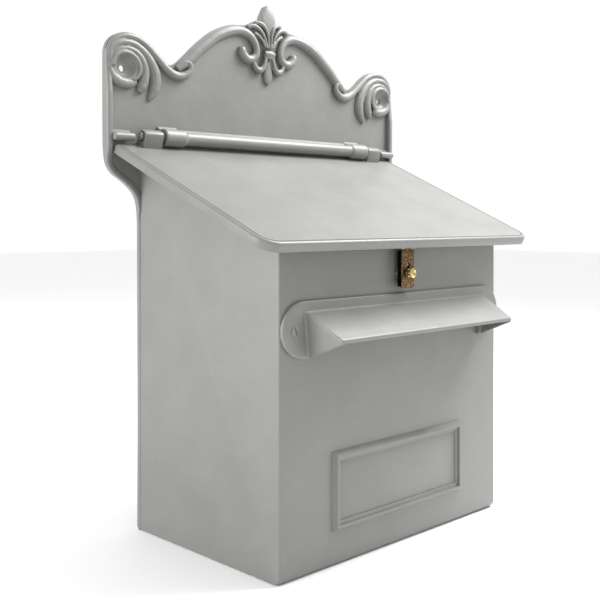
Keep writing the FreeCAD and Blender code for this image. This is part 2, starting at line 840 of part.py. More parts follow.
def makeLid():
    # The lid's own frame has its origin on the hinge axis and lies in the slanted plane.
    body = newBody("lid")
    sketch = sketchOn(body, "XY_Plane", "-lid_drop - lid_edge", lidOutline("0"))
    base = pad(body, sketch, "lid_edge - lid_step")
    top = sketchOn(body, "XY_Plane", "-lid_drop - lid_step", lidOutline("lid_reveal"))
    pad(body, top, "lid_step")
    under = sketchOn(body, "XY_Plane", "-lid_drop - lid_edge", lidOutline("lid_band", "5"))
    pocket(body, under, "lid_edge - lid_sheet")
    hidden = rectangle("-pad_half", "pad_half", "-lid_front + 3", "-pad_back")
    pad(body, sketchOn(body, "XY_Plane", "-lid_drop - pad_drop", hidden), "pad_drop - lid_sheet + 1")
    for side in (-1, 1):
        near, far = ("lug_inner", "lug_outer") if side > 0 else ("-lug_outer", "-lug_inner")
        lug = sketchOn(body, "YZ_Plane", near, [
            ("-lug_radius", "-lid_drop - 1"),
            ("lug_radius", "-lid_drop - 1"),
            ("lug_radius", "0"),
            ("0", "lug_radius", "arc"),
            ("-lug_radius", "0"),
        ])
        pad(body, lug, "lug_outer - lug_inner")
        bore = sketchOn(body, "YZ_Plane", near)
        drawCircle(bore, "0", "0", "pin_radius + pin_play")
        pocket(body, bore, "lug_outer - lug_inner")
    for side in (-1, 1):
        hole = sketchOn(body, "XY_Plane", "-lid_drop - pad_drop")
        drawCircle(hole, f"{side} * leaf_screw_half", "-leaf_screw_reach", "small_screw_radius")
        pocket(body, hole, "5")
    placeLikeLid(body)
    return body


# ---------------------------------------------------------------- hasp


# The hasp's pin and the faces of its strap, measured from the wall and the floor.
HASP_OUT = "(hinge_out + hasp_reach * cos(lid_angle) - hasp_drop * sin(lid_angle))"
HASP_HEIGHT = "(hinge_height - hasp_reach * sin(lid_angle) - hasp_drop * cos(lid_angle))"
STRAP_FACE = f"({HASP_OUT} + strap_lead)"
STRAP_BACK = f"({HASP_OUT} + strap_lead - strap_thick)"


def placeLikeLid(thing):
    thing.Placement = Placement(Vector(), Rotation(ACROSS, value("lid_angle")))
    bindPlace(thing, ("0", "-hinge_out", "hinge_height - fixing_height"))


def makeHaspLeaf():
    # Drawn like the lid, in its slanted plane: the leaf under the pad and the outer knuckles.
    body = newBody("hasp_leaf")
    notch = "knuckle_half + knuckle_gap"
    inner = "-hasp_reach + knuckle_radius + knuckle_gap"
    outline = [
        ("-strap_half", "-hasp_reach"),
        (f"-({notch})", "-hasp_reach"),
        (f"-({notch})", inner),
        (notch, inner),
        (notch, "-hasp_reach"),
        ("strap_half", "-hasp_reach"),
        ("strap_half", "-leaf_back"),
        ("-strap_half", "-leaf_back"),
    ]
    pad(body, sketchOn(body, "XY_Plane", "-lid_drop - pad_drop - leaf_thick", outline), "leaf_thick")
    for start in ("-strap_half", notch):
        knuckle = sketchOn(body, "YZ_Plane", start)
        drawCircle(knuckle, "-hasp_reach", "-hasp_drop", "knuckle_radius")
        pad(body, knuckle, f"strap_half - ({notch})")
    bore = sketchOn(body, "YZ_Plane")
    drawCircle(bore, "-hasp_reach", "-hasp_drop", "hasp_pin_radius")
    pocket(body, bore, "3 * strap_half", True)
    for side in (-1, 1):
        hole = sketchOn(body, "XY_Plane", "-lid_drop - pad_drop - leaf_thick")
        drawCircle(hole, f"{side} * leaf_screw_half", "-leaf_screw_reach", "small_screw_radius")
        pocket(body, hole, "leaf_thick")
    placeLikeLid(body)
    return body


def makeLeafScrews():
    screws = []
    for side in (-1, 1):
        place = (f"{side} * leaf_screw_half", "-leaf_screw_reach", "-lid_drop - pad_drop - leaf_thick")
        screws.append(smallScrew(f"leaf_screw_{len(screws)}", place, "leaf_thick + 5", UP))
    screwGroup = group("hasp_leaf_screws", screws)
    placeLikeLid(screwGroup)
    return screwGroup


def makeHaspPin():
    body = newBody("hasp_pin")
    circle = sketchOn(body, "YZ_Plane")
    drawCircle(circle, f"-{HASP_OUT}", HASP_HEIGHT, "hasp_pin_radius")
    pad(body, circle, "2 * strap_half", True)
    return body


def makeHaspStrap():
    body = newBody("hasp_strap")
    shoulder = f"{HASP_HEIGHT} - knuckle_radius - knuckle_gap"
    outline = [
        ("-strap_half", shoulder),
        ("-strap_half", "strap_low + 3"),
        ("-strap_half + 0.88", "strap_low + 0.88", "arc"),
        ("-strap_half + 3", "strap_low"),
        ("strap_half - 3", "strap_low"),
        ("strap_half - 0.88", "strap_low + 0.88", "arc"),
        ("strap_half", "strap_low + 3"),
        ("strap_half", shoulder),
        ("knuckle_half", shoulder),
        ("knuckle_half", HASP_HEIGHT),
        ("-knuckle_half", HASP_HEIGHT),
        ("-knuckle_half", shoulder),
    ]
    pad(body, sketchOn(body, "XZ_Plane", STRAP_BACK, outline), "strap_thick")
    slot = [
        ("-strap_slot_half", "strap_slot_high - strap_slot_half"),
        ("-strap_slot_half", "strap_slot_low + strap_slot_half"),
        ("0", "strap_slot_low", "arc"),
        ("strap_slot_half", "strap_slot_low + strap_slot_half"),
        ("strap_slot_half", "strap_slot_high - strap_slot_half"),
        ("0", "strap_slot_high", "arc"),
    ]
    pocket(body, sketchOn(body, "XZ_Plane", STRAP_BACK, slot), "strap_thick")
    knuckle = sketchOn(body, "YZ_Plane")
    drawCircle(knuckle, f"-{HASP_OUT}", HASP_HEIGHT, "knuckle_radius")
    pad(body, knuckle, "2 * knuckle_half", True)
    bore = sketchOn(body, "YZ_Plane")
    drawCircle(bore, f"-{HASP_OUT}", HASP_HEIGHT, "hasp_pin_radius + pin_play")
    pocket(body, bore, "3 * strap_half", True)
    return body


BAR_BACK = "(body_depth + keeper_base + 0.5)"
BAR_FRONT = f"({BAR_BACK} + bar_thick)"


def makeTurnKnob():
    # Turned piece: the head, the shank in the strap's slot and the thinner tail behind it.
    body = newBody("turn_knob")
    head = f"{STRAP_FACE} + knob_gap"
    back = f"{STRAP_BACK} - knob_gap"
    profile = sketchOn(body, "YZ_Plane", "0", [
        (f"-({BAR_BACK})", "knob_height"),
        (f"-({head} + knob_thick)", "knob_height"),
        (f"-({head} + knob_thick - 0.6)", "knob_height + knob_radius * 0.55"),
        (f"-({head} + knob_thick)", "knob_height + knob_radius * 0.7"),
        (f"-({head} + knob_thick)", "knob_height + knob_radius - 0.5"),
        (f"-({head} + knob_thick - 0.5)", "knob_height + knob_radius"),
        (f"-({head})", "knob_height + knob_radius"),
        (f"-({head})", "knob_height + shank_radius"),
        (f"-({back})", "knob_height + shank_radius"),
        (f"-({back})", "knob_height + tail_radius"),
        (f"-{BAR_FRONT}", "knob_height + tail_radius"),
        (f"-{BAR_FRONT}", "knob_height + rivet_radius"),
        (f"-{BAR_BACK}", "knob_height + rivet_radius"),
    ])
    feature = body.newObject("PartDesign::Revolution", "turn_knob_turned")
    feature.Profile = profile
    feature.ReferenceAxis = (profile, ["Edge1"])
    feature.Angle = 360
    document.recompute()
    return body


def makeKnobWasher():
    body = newBody("knob_washer")
    face = f"{STRAP_BACK} - knob_gap - washer_thick"
    pad(body, ringSketch(body, face, "washer_radius", "tail_radius"), "washer_thick")
    return body


def ringSketch(body, offset, outer, inner):
    sketch = sketchOn(body, "XZ_Plane", offset)
    drawCircle(sketch, "0", "knob_height", outer)
    drawCircle(sketch, "0", "knob_height", inner)
    return sketch


def makeCatchBar():
    body = newBody("catch_bar")
    straight = "sqrt(bar_half * bar_half - bar_side * bar_side)"
    outline = [
        ("-bar_side", f"knob_height + {straight}"),
        ("-bar_side", f"knob_height - {straight}"),
        ("0", "knob_height - bar_half", "arc"),
        ("bar_side", f"knob_height - {straight}"),
        ("bar_side", f"knob_height + {straight}"),
        ("0", "knob_height + bar_half", "arc"),
    ]
    pad(body, sketchOn(body, "XZ_Plane", BAR_BACK, outline), "bar_thick")
    bore = sketchOn(body, "XZ_Plane", BAR_BACK)
    drawCircle(bore, "0", "knob_height", "rivet_radius")
    pocket(body, bore, "bar_thick")
    return body


def makeKeeper():
    body = newBody("keeper")
    outline = rectangle("-keeper_half", "keeper_half", "keeper_low", "keeper_high")
    pad(body, sketchOn(body, "XZ_Plane", "body_depth", outline), "keeper_base + keeper_cavity + keeper_lip")
    tall = ("keeper_low - 1", "keeper_high + 1")
    cavity = rectangle("-keeper_cavity_half", "keeper_cavity_half", *tall)
    pocket(body, sketchOn(body, "XZ_Plane", "body_depth + keeper_base", cavity), "keeper_cavity")
    gap = rectangle("-keeper_gap_half", "keeper_gap_half", *tall)
    pocket(body, sketchOn(body, "XZ_Plane", "body_depth + keeper_base", gap), "keeper_cavity + keeper_lip")
    for side in (-1, 1):
        hole = sketchOn(body, "XZ_Plane", "body_depth")
        across = f"{side} * {KEEPER_SCREW_ACROSS}"
        drawCircle(hole, across, KEEPER_SCREW_HEIGHT, "small_screw_radius")
        pocket(body, hole, "4")
    return body


def lowered(thing):
    thing.setExpression("Placement.Base.z", linked("-fixing_height"))
    return thing


drawnFromFloor = (
    makeBackPlate,
    makeBodyShell,
    makeShellScrews,
    makeShellNuts,
    makeLetterHood,
    makeHoodScrews,
    makeHoodNuts,
    makeNameFrame,
    makeNameBlank,
    makeFrameScrews,
    makeKeeper,
    makeKeeperScrews,
    makeLeftPin,
    makeRightPin,
    makeHaspPin,
    makeHaspStrap,
    makeTurnKnob,
    makeKnobWasher,
    makeCatchBar,
)
drawnLikeLid = (makeLid, makeHaspLeaf, makeLeafScrews)
finished = [lowered(maker()) for maker in drawnFromFloor] + [maker() for maker in drawnLikeLid]

document.recompute()
troubled = [item.Name for item in document.Objects if {"Invalid", "Error"} & set(item.State)]
if troubled:
    raise ValueError("failed objects: " + ", ".join(troubled))
os.makedirs("parts", exist_ok=True)
for piece in finished:
    shape = piece.Shape
    if shape.isNull() or not shape.isValid():
        raise ValueError("bad shape: " + piece.Label)
    shape.exportStep(f"parts/{piece.Label}.step")
    print(f"{piece.Label}: {len(shape.Solids)} solid(s), {shape.Volume:.0f} mm3")
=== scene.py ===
import math
import bmesh
import bpy
from mathutils import Matrix, Vector


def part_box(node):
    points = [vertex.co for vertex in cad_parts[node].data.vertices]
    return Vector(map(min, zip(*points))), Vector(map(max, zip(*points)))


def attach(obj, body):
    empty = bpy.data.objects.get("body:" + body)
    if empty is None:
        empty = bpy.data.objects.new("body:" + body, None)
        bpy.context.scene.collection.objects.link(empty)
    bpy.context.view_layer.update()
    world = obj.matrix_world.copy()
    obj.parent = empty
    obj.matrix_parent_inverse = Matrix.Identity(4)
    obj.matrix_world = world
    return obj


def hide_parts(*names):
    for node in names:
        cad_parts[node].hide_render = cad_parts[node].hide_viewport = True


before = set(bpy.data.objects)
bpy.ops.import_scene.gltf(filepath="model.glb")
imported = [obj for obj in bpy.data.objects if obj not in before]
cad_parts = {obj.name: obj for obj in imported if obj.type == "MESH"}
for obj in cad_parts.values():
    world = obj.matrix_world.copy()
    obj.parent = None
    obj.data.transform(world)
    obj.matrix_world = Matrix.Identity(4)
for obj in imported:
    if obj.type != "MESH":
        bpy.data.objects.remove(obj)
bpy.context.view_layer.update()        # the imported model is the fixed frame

bpy.ops.object.select_all(action="DESELECT")
bpy.context.view_layer.objects.active = None
print("frame loaded")

# A cast letter box with a scrolled wall plate. Lengths are in millimetres until spot() or
# the mm factor turns them into metres: across, out from the wall, up from the box's floor.
mm = 0.001
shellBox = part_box("body_shell")
floorLevel = shellBox[0].z
lidAngle = math.radians(23.3)
hingeOut = 14.9
hingeUp = 357.3


def spot(across, out, up):
    return Vector((across * mm, -out * mm, floorLevel + up * mm))


# ---- tools for modelling

def only(*pieces):
    if bpy.context.mode != "OBJECT":
        bpy.ops.object.mode_set(mode="OBJECT")
    bpy.ops.object.select_all(action="DESELECT")
    for piece in pieces:
        piece.select_set(True)
    bpy.context.view_layer.objects.active = pieces[0]


def named(name):
    piece = bpy.context.active_object
    piece.name = name
    piece.data.name = name
    return piece


def editing(piece):
    only(piece)
    bpy.ops.object.mode_set(mode="EDIT")
    bpy.ops.mesh.select_all(action="SELECT")


def done():
    bpy.ops.object.mode_set(mode="OBJECT")


def pick(kind, test):
    # In edit mode: selects the faces, edges or corners that pass the test.
    bpy.ops.mesh.select_mode(type=kind)
    bpy.ops.mesh.select_all(action="DESELECT")
    mesh = bmesh.from_edit_mesh(bpy.context.edit_object.data)
    for thing in {"VERT": mesh.verts, "EDGE": mesh.edges, "FACE": mesh.faces}[kind]:
        if test(thing):
            thing.select_set(True)
    bmesh.update_edit_mesh(bpy.context.edit_object.data)


def middle(edge):
    return (edge.verts[0].co + edge.verts[1].co) / 2


def modified(piece, kind, **settings):
    only(piece)
    modifier = piece.modifiers.new(kind.title(), kind)
    for key, value in settings.items():
        setattr(modifier, key, value)
    bpy.ops.object.modifier_apply(modifier=modifier.name)
    return piece


def joined(name, pieces):
    only(*pieces)
    if len(pieces) > 1:
        bpy.ops.object.join()
    return named(name)


def outward(piece):
    editing(piece)
    bpy.ops.mesh.remove_doubles(threshold=0.00001)
    bpy.ops.mesh.normals_make_consistent(inside=False)
    done()
    return piece


def cutOut(piece, tool, solver="EXACT"):
    modified(piece, "BOOLEAN", operation="DIFFERENCE", object=tool, solver=solver)
    bpy.data.objects.remove(tool)
    return piece


def block(name, low, high, round=0.0, segments=3):
    # A cube between two corners, its edges rounded.
    bpy.ops.mesh.primitive_cube_add(size=1)
    piece = named(name)
    for vertex in piece.data.vertices:
        share = [0.5 + value for value in vertex.co]
        vertex.co = spot(*[a + (b - a) * part for a, b, part in zip(low, high, (share[0], 1 - share[1], share[2]))])
    if round:
        modified(piece, "BEVEL", width=round * mm, segments=segments, limit_method="ANGLE")
    return outward(piece)


def rod(name, start, end, radius, sides=48, endRadius=None):
    # A round bar between two points in millimetres.
    a, b = spot(*start), spot(*end)
    bpy.ops.mesh.primitive_cone_add(vertices=sides, radius1=radius * mm, radius2=(radius if endRadius is None else endRadius) * mm, depth=(b - a).length)
    piece = named(name)
    turn = Vector((0, 0, 1)).rotation_difference(b - a).to_matrix().to_4x4()
    piece.data.transform(Matrix.Translation((a + b) / 2) @ turn)
    return piece


def outlineFace(name, points):
    # A flat face with one corner for each point, in metres.
    bpy.ops.mesh.primitive_circle_add(vertices=len(points), radius=0.05, fill_type="NGON")
    piece = named(name)
    for vertex, point in zip(piece.data.vertices, points):
        vertex.co = point
    return piece


def thickened(piece, shift):
    editing(piece)
    bpy.ops.mesh.extrude_region_move(TRANSFORM_OT_translate={"value": shift})
    done()
    return outward(piece)


def smoothPath(points, steps):
    # An even curve through the points, each a tuple of numbers.
    path = []
    ends = [points[0]] + list(points) + [points[-1]]
    for index in range(1, len(ends) - 2):
        before, here, after, beyond = [Vector(point) for point in ends[index - 1:index + 3]]
        for step in range(steps):
            t = step / steps
            path.append(0.5 * (2 * here + (after - before) * t + (2 * before - 5 * here + 4 * after - beyond) * t * t + (3 * here - before - 3 * after + beyond) * t ** 3))
    return path + [Vector(points[-1])]


def strand(name, points, sides=4):
    # A cast strand: a round bar through (across, up, out, radius), tapering as the radii say.
    bpy.ops.curve.primitive_bezier_curve_add()
    piece = named(name)
    piece.data.dimensions = "3D"
    piece.data.bevel_depth = 1.0
    piece.data.bevel_resolution = sides
    piece.data.resolution_u = 8
    piece.data.use_fill_caps = True
    spline = piece.data.splines[0]
    spline.bezier_points.add(len(points) - 2)
    for knot, (across, up, out, radius) in zip(spline.bezier_points, points):
        knot.co = spot(across, out, up)
        knot.handle_left_type = knot.handle_right_type = "AUTO"
        knot.radius = radius * mm
    only(piece)
    bpy.ops.object.convert(target="MESH")
    piece = named(name)
    for vertex in piece.data.vertices:
        vertex.co.y = min(vertex.co.y, -0.8 * mm)  # flat behind, inside the plate
    return piece


def castTogether(name, pieces, voxel, passes):
    # Melts overlapping pieces into one skin with soft creases, as a casting has.
    piece = joined(name, pieces)
    modified(piece, "REMESH", mode="VOXEL", voxel_size=voxel * mm, adaptivity=0)
    modified(piece, "SMOOTH", factor=0.5, iterations=passes)
    return piece


def mirrored(piece, name):
    only(piece)
    bpy.ops.object.duplicate()
    copy = named(name)
    copy.data.transform(Matrix.Scale(-1, 4, (1, 0, 0)))
    copy.data.flip_normals()
    return copy


def finished(piece, body, material, nodes=(), angle=35):
    only(piece)
    piece.data.materials.clear()
    piece.data.materials.append(material)
    bpy.ops.object.shade_smooth_by_angle(angle=math.radians(angle))
    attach(piece, body)
    if nodes:
        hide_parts(*nodes)
    return piece


# ---- finishes

class Wire:
    # A node's output that can be added, multiplied and subtracted in plain sums.
    def __init__(self, finish, socket):
        self.finish = finish
        self.socket = socket

    def sum(self, operation, first, second):
        return self.finish.node("ShaderNodeMath", {"operation": operation}, {0: first, 1: second})

    def __add__(self, other):
        return self.sum("ADD", self, other)

    def __sub__(self, other):
        return self.sum("SUBTRACT", self, other)

    def __rsub__(self, other):
        return self.sum("SUBTRACT", other, self)

    def __mul__(self, other):
        return self.sum("MULTIPLY", self, other)

    def __pow__(self, other):
        return self.sum("POWER", self, other)

    __radd__ = __add__
    __rmul__ = __mul__


class Finish:
    def __init__(self, name):
        self.material = bpy.data.materials.new(name)
        self.material.use_nodes = True
        self.tree = self.material.node_tree
        self.tree.nodes.clear()
        self.place = self.node("ShaderNodeTexCoord", {}, {}, "Object")

    def node(self, kind, settings, sockets, output=0):
        made = self.tree.nodes.new(kind)
        for key, value in settings.items():
            if key == "stops":
                for element, (position, colour) in zip(made.color_ramp.elements, value):
                    element.position = position
                    element.color = colour
            else:
                setattr(made, key, value)
        for key, value in sockets.items():
            if isinstance(value, Wire):
                self.tree.links.new(value.socket, made.inputs[key])
            else:
                made.inputs[key].default_value = value
        return Wire(self, made.outputs[output])

    def noise(self, size, detail=3.0, rough=0.5, offset=0.0):
        # Clouds about so many millimetres across.
        where = self.node("ShaderNodeVectorMath", {"operation": "ADD"}, {0: self.place, 1: (offset, offset, offset)})
        return self.node("ShaderNodeTexNoise", {}, {"Vector": where, "Scale": 1 / (size * mm), "Detail": detail, "Roughness": rough}, "Fac")

    def mixed(self, share, first, second):
        return self.node("ShaderNodeMix", {"data_type": "RGBA"}, {"Factor": share, 6: first, 7: second}, 2)

    def band(self, value, low, high):
        # 0 below low, 1 above high.
        return self.node("ShaderNodeMapRange", {"clamp": True}, {"Value": value, "From Min": low, "From Max": high})

    def bump(self, height, depth, strength=1.0, under=None):
        sockets = {"Height": height, "Distance": depth * mm, "Strength": strength}
        if under:
            sockets["Normal"] = under
        return self.node("ShaderNodeBump", {}, sockets)

    def close(self, colour, roughness, metallic, normal, **fixed):
        sockets = {"Base Color": colour, "Roughness": roughness, "Metallic": metallic, "Normal": normal}
        sockets.update(fixed)
        surface = self.node("ShaderNodeBsdfPrincipled", {}, sockets)
        self.node("ShaderNodeOutputMaterial", {}, {"Surface": surface}, 0) if False else self.tree.links.new(surface.socket, self.tree.nodes.new("ShaderNodeOutputMaterial").inputs["Surface"])
        return self.material


powderCoat = {
    "light": (0.178, 0.180, 0.171, 1),
    "dark": (0.161, 0.163, 0.155, 1),
    "peelSize": 1.5,
    "peelDepth": 0.10,
    "swellSize": 9.0,
    "swellDepth": 0.35,
    "roughness": 0.40,
}


def makePaint(name, peel=1.0, shade=1.0):
    # Satin powder coat over a casting: fine orange peel on slow swells, and faint clouding.
    finish = Finish(name)
    clouds = finish.noise(38, 4.0, 0.55)
    grain = finish.noise(0.55, 2.0, 0.6, 3.0)
    peelClouds = finish.noise(powderCoat["peelSize"], 2.0, 0.45, 1.0)
    swell = finish.noise(powderCoat["swellSize"], 2.0, 0.4, 2.0)
    share = finish.band(clouds * 0.8 + grain * 0.2, 0.35, 0.65)
    tint = [tuple(value * shade for value in powderCoat[key][:3]) + (1,) for key in ("dark", "light")]
    colour = finish.mixed(share, *tint)
    roughness = powderCoat["roughness"] + (clouds - 0.5) * 0.10 + (peelClouds - 0.5) * 0.12
    slow = finish.bump(swell, powderCoat["swellDepth"] * peel, 0.6)
    fine = finish.bump(peelClouds, powderCoat["peelDepth"] * peel, 0.8, slow)
    return finish.close(colour, roughness, 0.0, fine, **{"Specular IOR Level": 0.45})


brassTone = {
    "bright": (0.66, 0.52, 0.25, 1),
    "dull": (0.26, 0.18, 0.075, 1),
    "worn": (0.26, 0.18, 0.085, 1),
    "brown": (0.085, 0.052, 0.024, 1),
    # a near-black used as painted shade
    "shadeBlack": (0.014, 0.012, 0.010, 1),
    "roughness": 0.24,
}


def makeBrass(name, light, deep, low, high):
    # Rolled brass, browner where it is handled least.
    finish = Finish(name)
    blotches = finish.noise(2.2, 5.0, 0.62)
    scratches = finish.noise(0.5, 3.0, 0.6, 5.0)
    share = finish.band(blotches + (scratches - 0.5) * 0.25, low, high)
    colour = finish.mixed(share, brassTone[light], brassTone[deep])
    roughness = brassTone["roughness"] + share * 0.18 + (scratches - 0.5) * 0.12
    return finish.close(colour, roughness, 1.0, finish.bump(blotches + scratches * 0.4, 0.05, 0.5))


def makeZinc(name):
    finish = Finish(name)
    streaks = finish.noise(0.8, 4.0, 0.6)
    patches = finish.noise(4.0, 3.0, 0.55, 2.0)
    colour = finish.mixed(patches, (0.46, 0.47, 0.48, 1), (0.66, 0.66, 0.64, 1))
    return finish.close(colour, 0.30 + streaks * 0.22, 1.0, finish.bump(streaks, 0.04, 0.5))


paint = makePaint("powderCoatGrey")
brass = makeBrass("polishedBrass", "bright", "dull", 0.42, 0.62)
brownBrass = makeBrass("tarnishedBrass", "worn", "brown", 0.36, 0.54)
# Near-black brass that is painted shade: it stands for the dark band of shade beside the strap, on the strap's side
# returns and the catch bar.
paintedShadeBrass = makeBrass("brassPaintedShade", "brown", "shadeBlack", 0.20, 0.40)
zinc = makeZinc("zincPlate")
print("finishes made")

# ---- wall plate

wallPlate = {
    "web": 4.5,
    "rim": 10.8,
    "rimWidth": 5.2,
    "rimRound": 2.6,
    "fades": ((396, 422, 0.25), (348, 334, 0.45)),
    "holeAcross": 170.0,
    "holeUp": 418.0,
    "holeRadius": 3.25,
    "crest": [
        (0, 501.3), (3.2, 499.4), (6, 494.5), (8.8, 488.5), (9.9, 484.6), (13, 483.4), (17, 482.8), (24.5, 479),
        (31.5, 476.9), (38.7, 476), (46, 475.2), (54, 473), (61, 470), (68.5, 466), (76, 461), (83, 455.4),
        (90, 449.4), (97, 442.8), (104, 436), (111, 430), (117.5, 426.8), (124, 428), (131, 432.8), (137.4, 438.6),
        (144, 443.8), (150, 447.2), (156.6, 449.6), (163, 450.6), (169, 450.4), (175.3, 448.6), (181.3, 444.8),
        (185.3, 439.6), (187.2, 433.5),
    ],
    "side": [(187.7, 427), (187.7, 400), (187.6, 372), (187.4, 350), (187, 344), (186.2, 336.2), (184, 329.6), (178.9, 323.4),
             (170.6, 318), (164, 312.9), (158.6, 307.6), (155.1, 301.8), (153.4, 296), (152.4, 288)],
    "foot": [(151.9, 278), (151.6, 200), (151.5, 100), (151.5, 0)],
}


def crestPoints():
    half = smoothPath(wallPlate["crest"] + wallPlate["side"], 3) + [Vector(point) for point in wallPlate["foot"]]
    right = [spot(across, 0, up) for across, up in half]
    left = [spot(-across, 0, up) for across, up in reversed(half[1:])]
    return right + left


def sideRim(name, sign):
    # The raised lip down one side of the plate, from the scroll to the foot of the bracket.
    outer = smoothPath([(187.6, 434), (187.8, 427)] + wallPlate["side"][1:], 3)
    inner = []
    for index, point in enumerate(outer):
        along = outer[min(index + 1, len(outer) - 1)] - outer[max(index - 1, 0)]
        inner.append(point + Vector((along.y, -along.x)).normalized() * wallPlate["rimWidth"])
    outer = [point + (point - inside) * 0.08 for point, inside in zip(outer, inner)]
    loop = [spot(sign * point.x, 0.1, point.y) for point in outer + inner[::-1]]
    rim = thickened(outlineFace(name, loop), (0, -(wallPlate["rim"] - 0.1) * mm, 0))
    editing(rim)
    front = -(wallPlate["rim"] - 0.05) * mm
    pick("EDGE", lambda edge: all(vertex.co.y < front for vertex in edge.verts))
    bpy.ops.mesh.bevel(offset=wallPlate["rimRound"] * mm * 0.8, segments=5, affect="EDGES")
    done()
    return outward(rim)


def makeWallPlate():
    plate = thickened(outlineFace("wallPlate", crestPoints()), (0, -wallPlate["web"] * mm, 0))
    editing(plate)
    low = floorLevel + 0.5 * mm
    pick("EDGE", lambda edge: middle(edge).z < low and abs(middle(edge).y) < 0.1 * mm)
    bpy.ops.mesh.bevel(offset=3.9 * mm, segments=6, affect="EDGES")
    done()
    for sign in (-1, 1):
        across = sign * wallPlate["holeAcross"]
        hole = rod("hole", (across, -1, wallPlate["holeUp"]), (across, 20, wallPlate["holeUp"]), wallPlate["holeRadius"])
        cutOut(plate, hole)
    for sign, side in ((-1, "Left"), (1, "Right")):
        rim = castTogether("sideRim" + side, [sideRim("rim", sign)], 0.7, 3)
        # It thins away under the scroll, and below the hinge.
        for vertex in rim.data.vertices:
            up = (vertex.co.z - floorLevel) / mm
            for start, end, loss in wallPlate["fades"]:
                vertex.co.y *= 1 - loss * min(max((up - start) / (end - start), 0), 1)
        finished(rim, "box", paint, angle=60)
    return finished(plate, "box", paint, ["back_plate"], 40)


makeWallPlate()
print("wall plate made")

# ---- crest: each strand is (across, up, out, radius)

scrollStrands = {
    "outer": [
        (184.9, 404, 6.0, 2.6), (184.6, 414, 6.0, 3.0),
        (184.2, 424, 6.0, 3.2), (184.2, 430, 6.2, 3.4), (182.8, 436.2, 6.2, 3.4), (179.4, 441.5, 6.2, 3.4), (174.2, 445.2, 6.2, 3.4),
        (168.6, 447.1, 6.2, 3.4), (163, 447.2, 6.2, 3.4), (157.4, 446.3, 6.2, 3.4), (151.6, 444.3, 6.2, 3.4), (146, 441.2, 6.2, 3.4),
        (139.8, 436.1, 6.1, 3.5), (133.3, 430.4, 6.0, 3.7), (127.5, 425.2, 5.8, 4.0), (121.6, 420.7, 5.6, 4.4), (115, 417.6, 5.5, 4.7),
        (107.6, 417.2, 5.8, 4.5), (101, 420.2, 6.6, 3.9), (97.4, 425.4, 7.2, 3.1), (98.8, 430, 7.6, 2.6), (103, 430.9, 7.8, 2.2), (106, 428.6, 7.6, 1.9),
    ],
    "second": [
        (183.8, 424, 6.2, 2.2), (183.4, 431, 6.6, 2.6), (180.2, 436.4, 6.9, 3.0), (174.6, 440, 7.0, 3.2), (167.4, 441.2, 7.0, 3.3),
        (160, 440.4, 6.8, 3.5), (152.6, 437, 6.6, 3.8), (146, 431.6, 6.2, 4.3), (140.6, 424.6, 5.5, 5.2), (136.8, 416.6, 4.8, 6.0),
        (135.8, 408.6, 4.4, 6.2), (137.4, 401, 4.6, 5.4), (140.6, 395, 5.0, 3.5), (142.8, 391.4, 5.2, 1.7),
    ],
    "third": [
        (182, 424.5, 7.2, 1.6), (180.2, 430, 7.7, 2.0), (175.4, 434, 8.0, 2.3), (168.6, 435.6, 8.1, 2.4), (161.6, 434.8, 8.0, 2.7),
        (155.2, 431.2, 7.6, 3.2), (150.6, 425.2, 7.0, 4.0), (148.3, 417.6, 6.0, 5.0), (148.6, 409.6, 5.2, 5.6), (151, 402.8, 5.0, 5.2), (153.8, 397.8, 5.2, 2.8),
    ],
    "eye": [
        (182, 419, 8.8, 2.1), (180.2, 426.4, 9.2, 2.0), (174.6, 430.9, 9.5, 1.9), (167.4, 431.8, 9.6, 1.9), (160.6, 429.2, 9.6, 1.9),
        (155.8, 423.6, 9.5, 2.0), (154.6, 417, 9.3, 2.1), (156.8, 411.4, 8.9, 2.2), (161.4, 408, 8.4, 1.9),
    ],
    "under": [(184.6, 420, 7.0, 2.6), (183.2, 413.4, 6.4, 3.6), (178.4, 407.8, 5.8, 4.6), (171, 405, 5.4, 5.1), (163.4, 405, 5.4, 4.9), (157.4, 407.4, 5.8, 3.4)],
}
crestStrands = {
    "shoulder": [
        (112, 423.4, 5.2, 3.4), (104, 429.2, 4.8, 5.0), (97, 434.9, 4.7, 5.6), (90, 441.8, 4.6, 5.9), (83, 447.8, 4.6, 6.0),
        (76, 453.4, 4.6, 6.1), (69, 458.8, 4.6, 6.1), (61.5, 463.2, 4.6, 6.1), (54, 466.6, 4.7, 5.9), (46.5, 469, 4.9, 5.5),
        (39, 470.3, 5.2, 5.1), (32, 470.1, 5.6, 4.8), (25.4, 467.8, 6.2, 4.4), (19.8, 462.8, 6.7, 4.0), (16.4, 456.4, 7.1, 3.7),
        (16.2, 449.8, 7.2, 3.8), (19.6, 445, 6.6, 4.4), (25.6, 443, 6.2, 5.0), (31.4, 445.4, 6.2, 5.1), (34.2, 450.6, 6.3, 4.7), (33.6, 454.2, 6.4, 3.7),
    ],
    "petalInner": [(1.4, 456, 10.0, 1.1), (1.7, 464, 10.0, 1.2), (3.4, 472.4, 9.7, 1.5), (7.2, 478.9, 8.6, 2.0), (12, 481.4, 7.2, 2.3), (16.8, 481.6, 6.0, 2.2)],
    "petalMiddle": [(3.8, 456.6, 9.8, 1.1), (5.7, 465, 9.6, 1.3), (9.8, 471.9, 8.9, 1.7), (14.9, 476.2, 7.8, 2.2), (20.8, 477.6, 6.6, 2.5), (26.4, 475.6, 5.8, 2.2)],
    "petalOuter": [(5.6, 457.4, 9.2, 1.1), (8.8, 464, 8.6, 1.4), (13.6, 468.6, 7.6, 1.8), (18.6, 471, 6.6, 2.0)],
    "hook": [
        (4.4, 448, 8.8, 1.6), (5.8, 441.4, 8.9, 2.2), (8.4, 436, 8.0, 3.1), (12.2, 433.5, 7.3, 3.7), (16.3, 434.9, 7.4, 3.2),
        (18.9, 438.6, 7.9, 2.3), (19.5, 442.4, 8.2, 1.2),
    ],
}
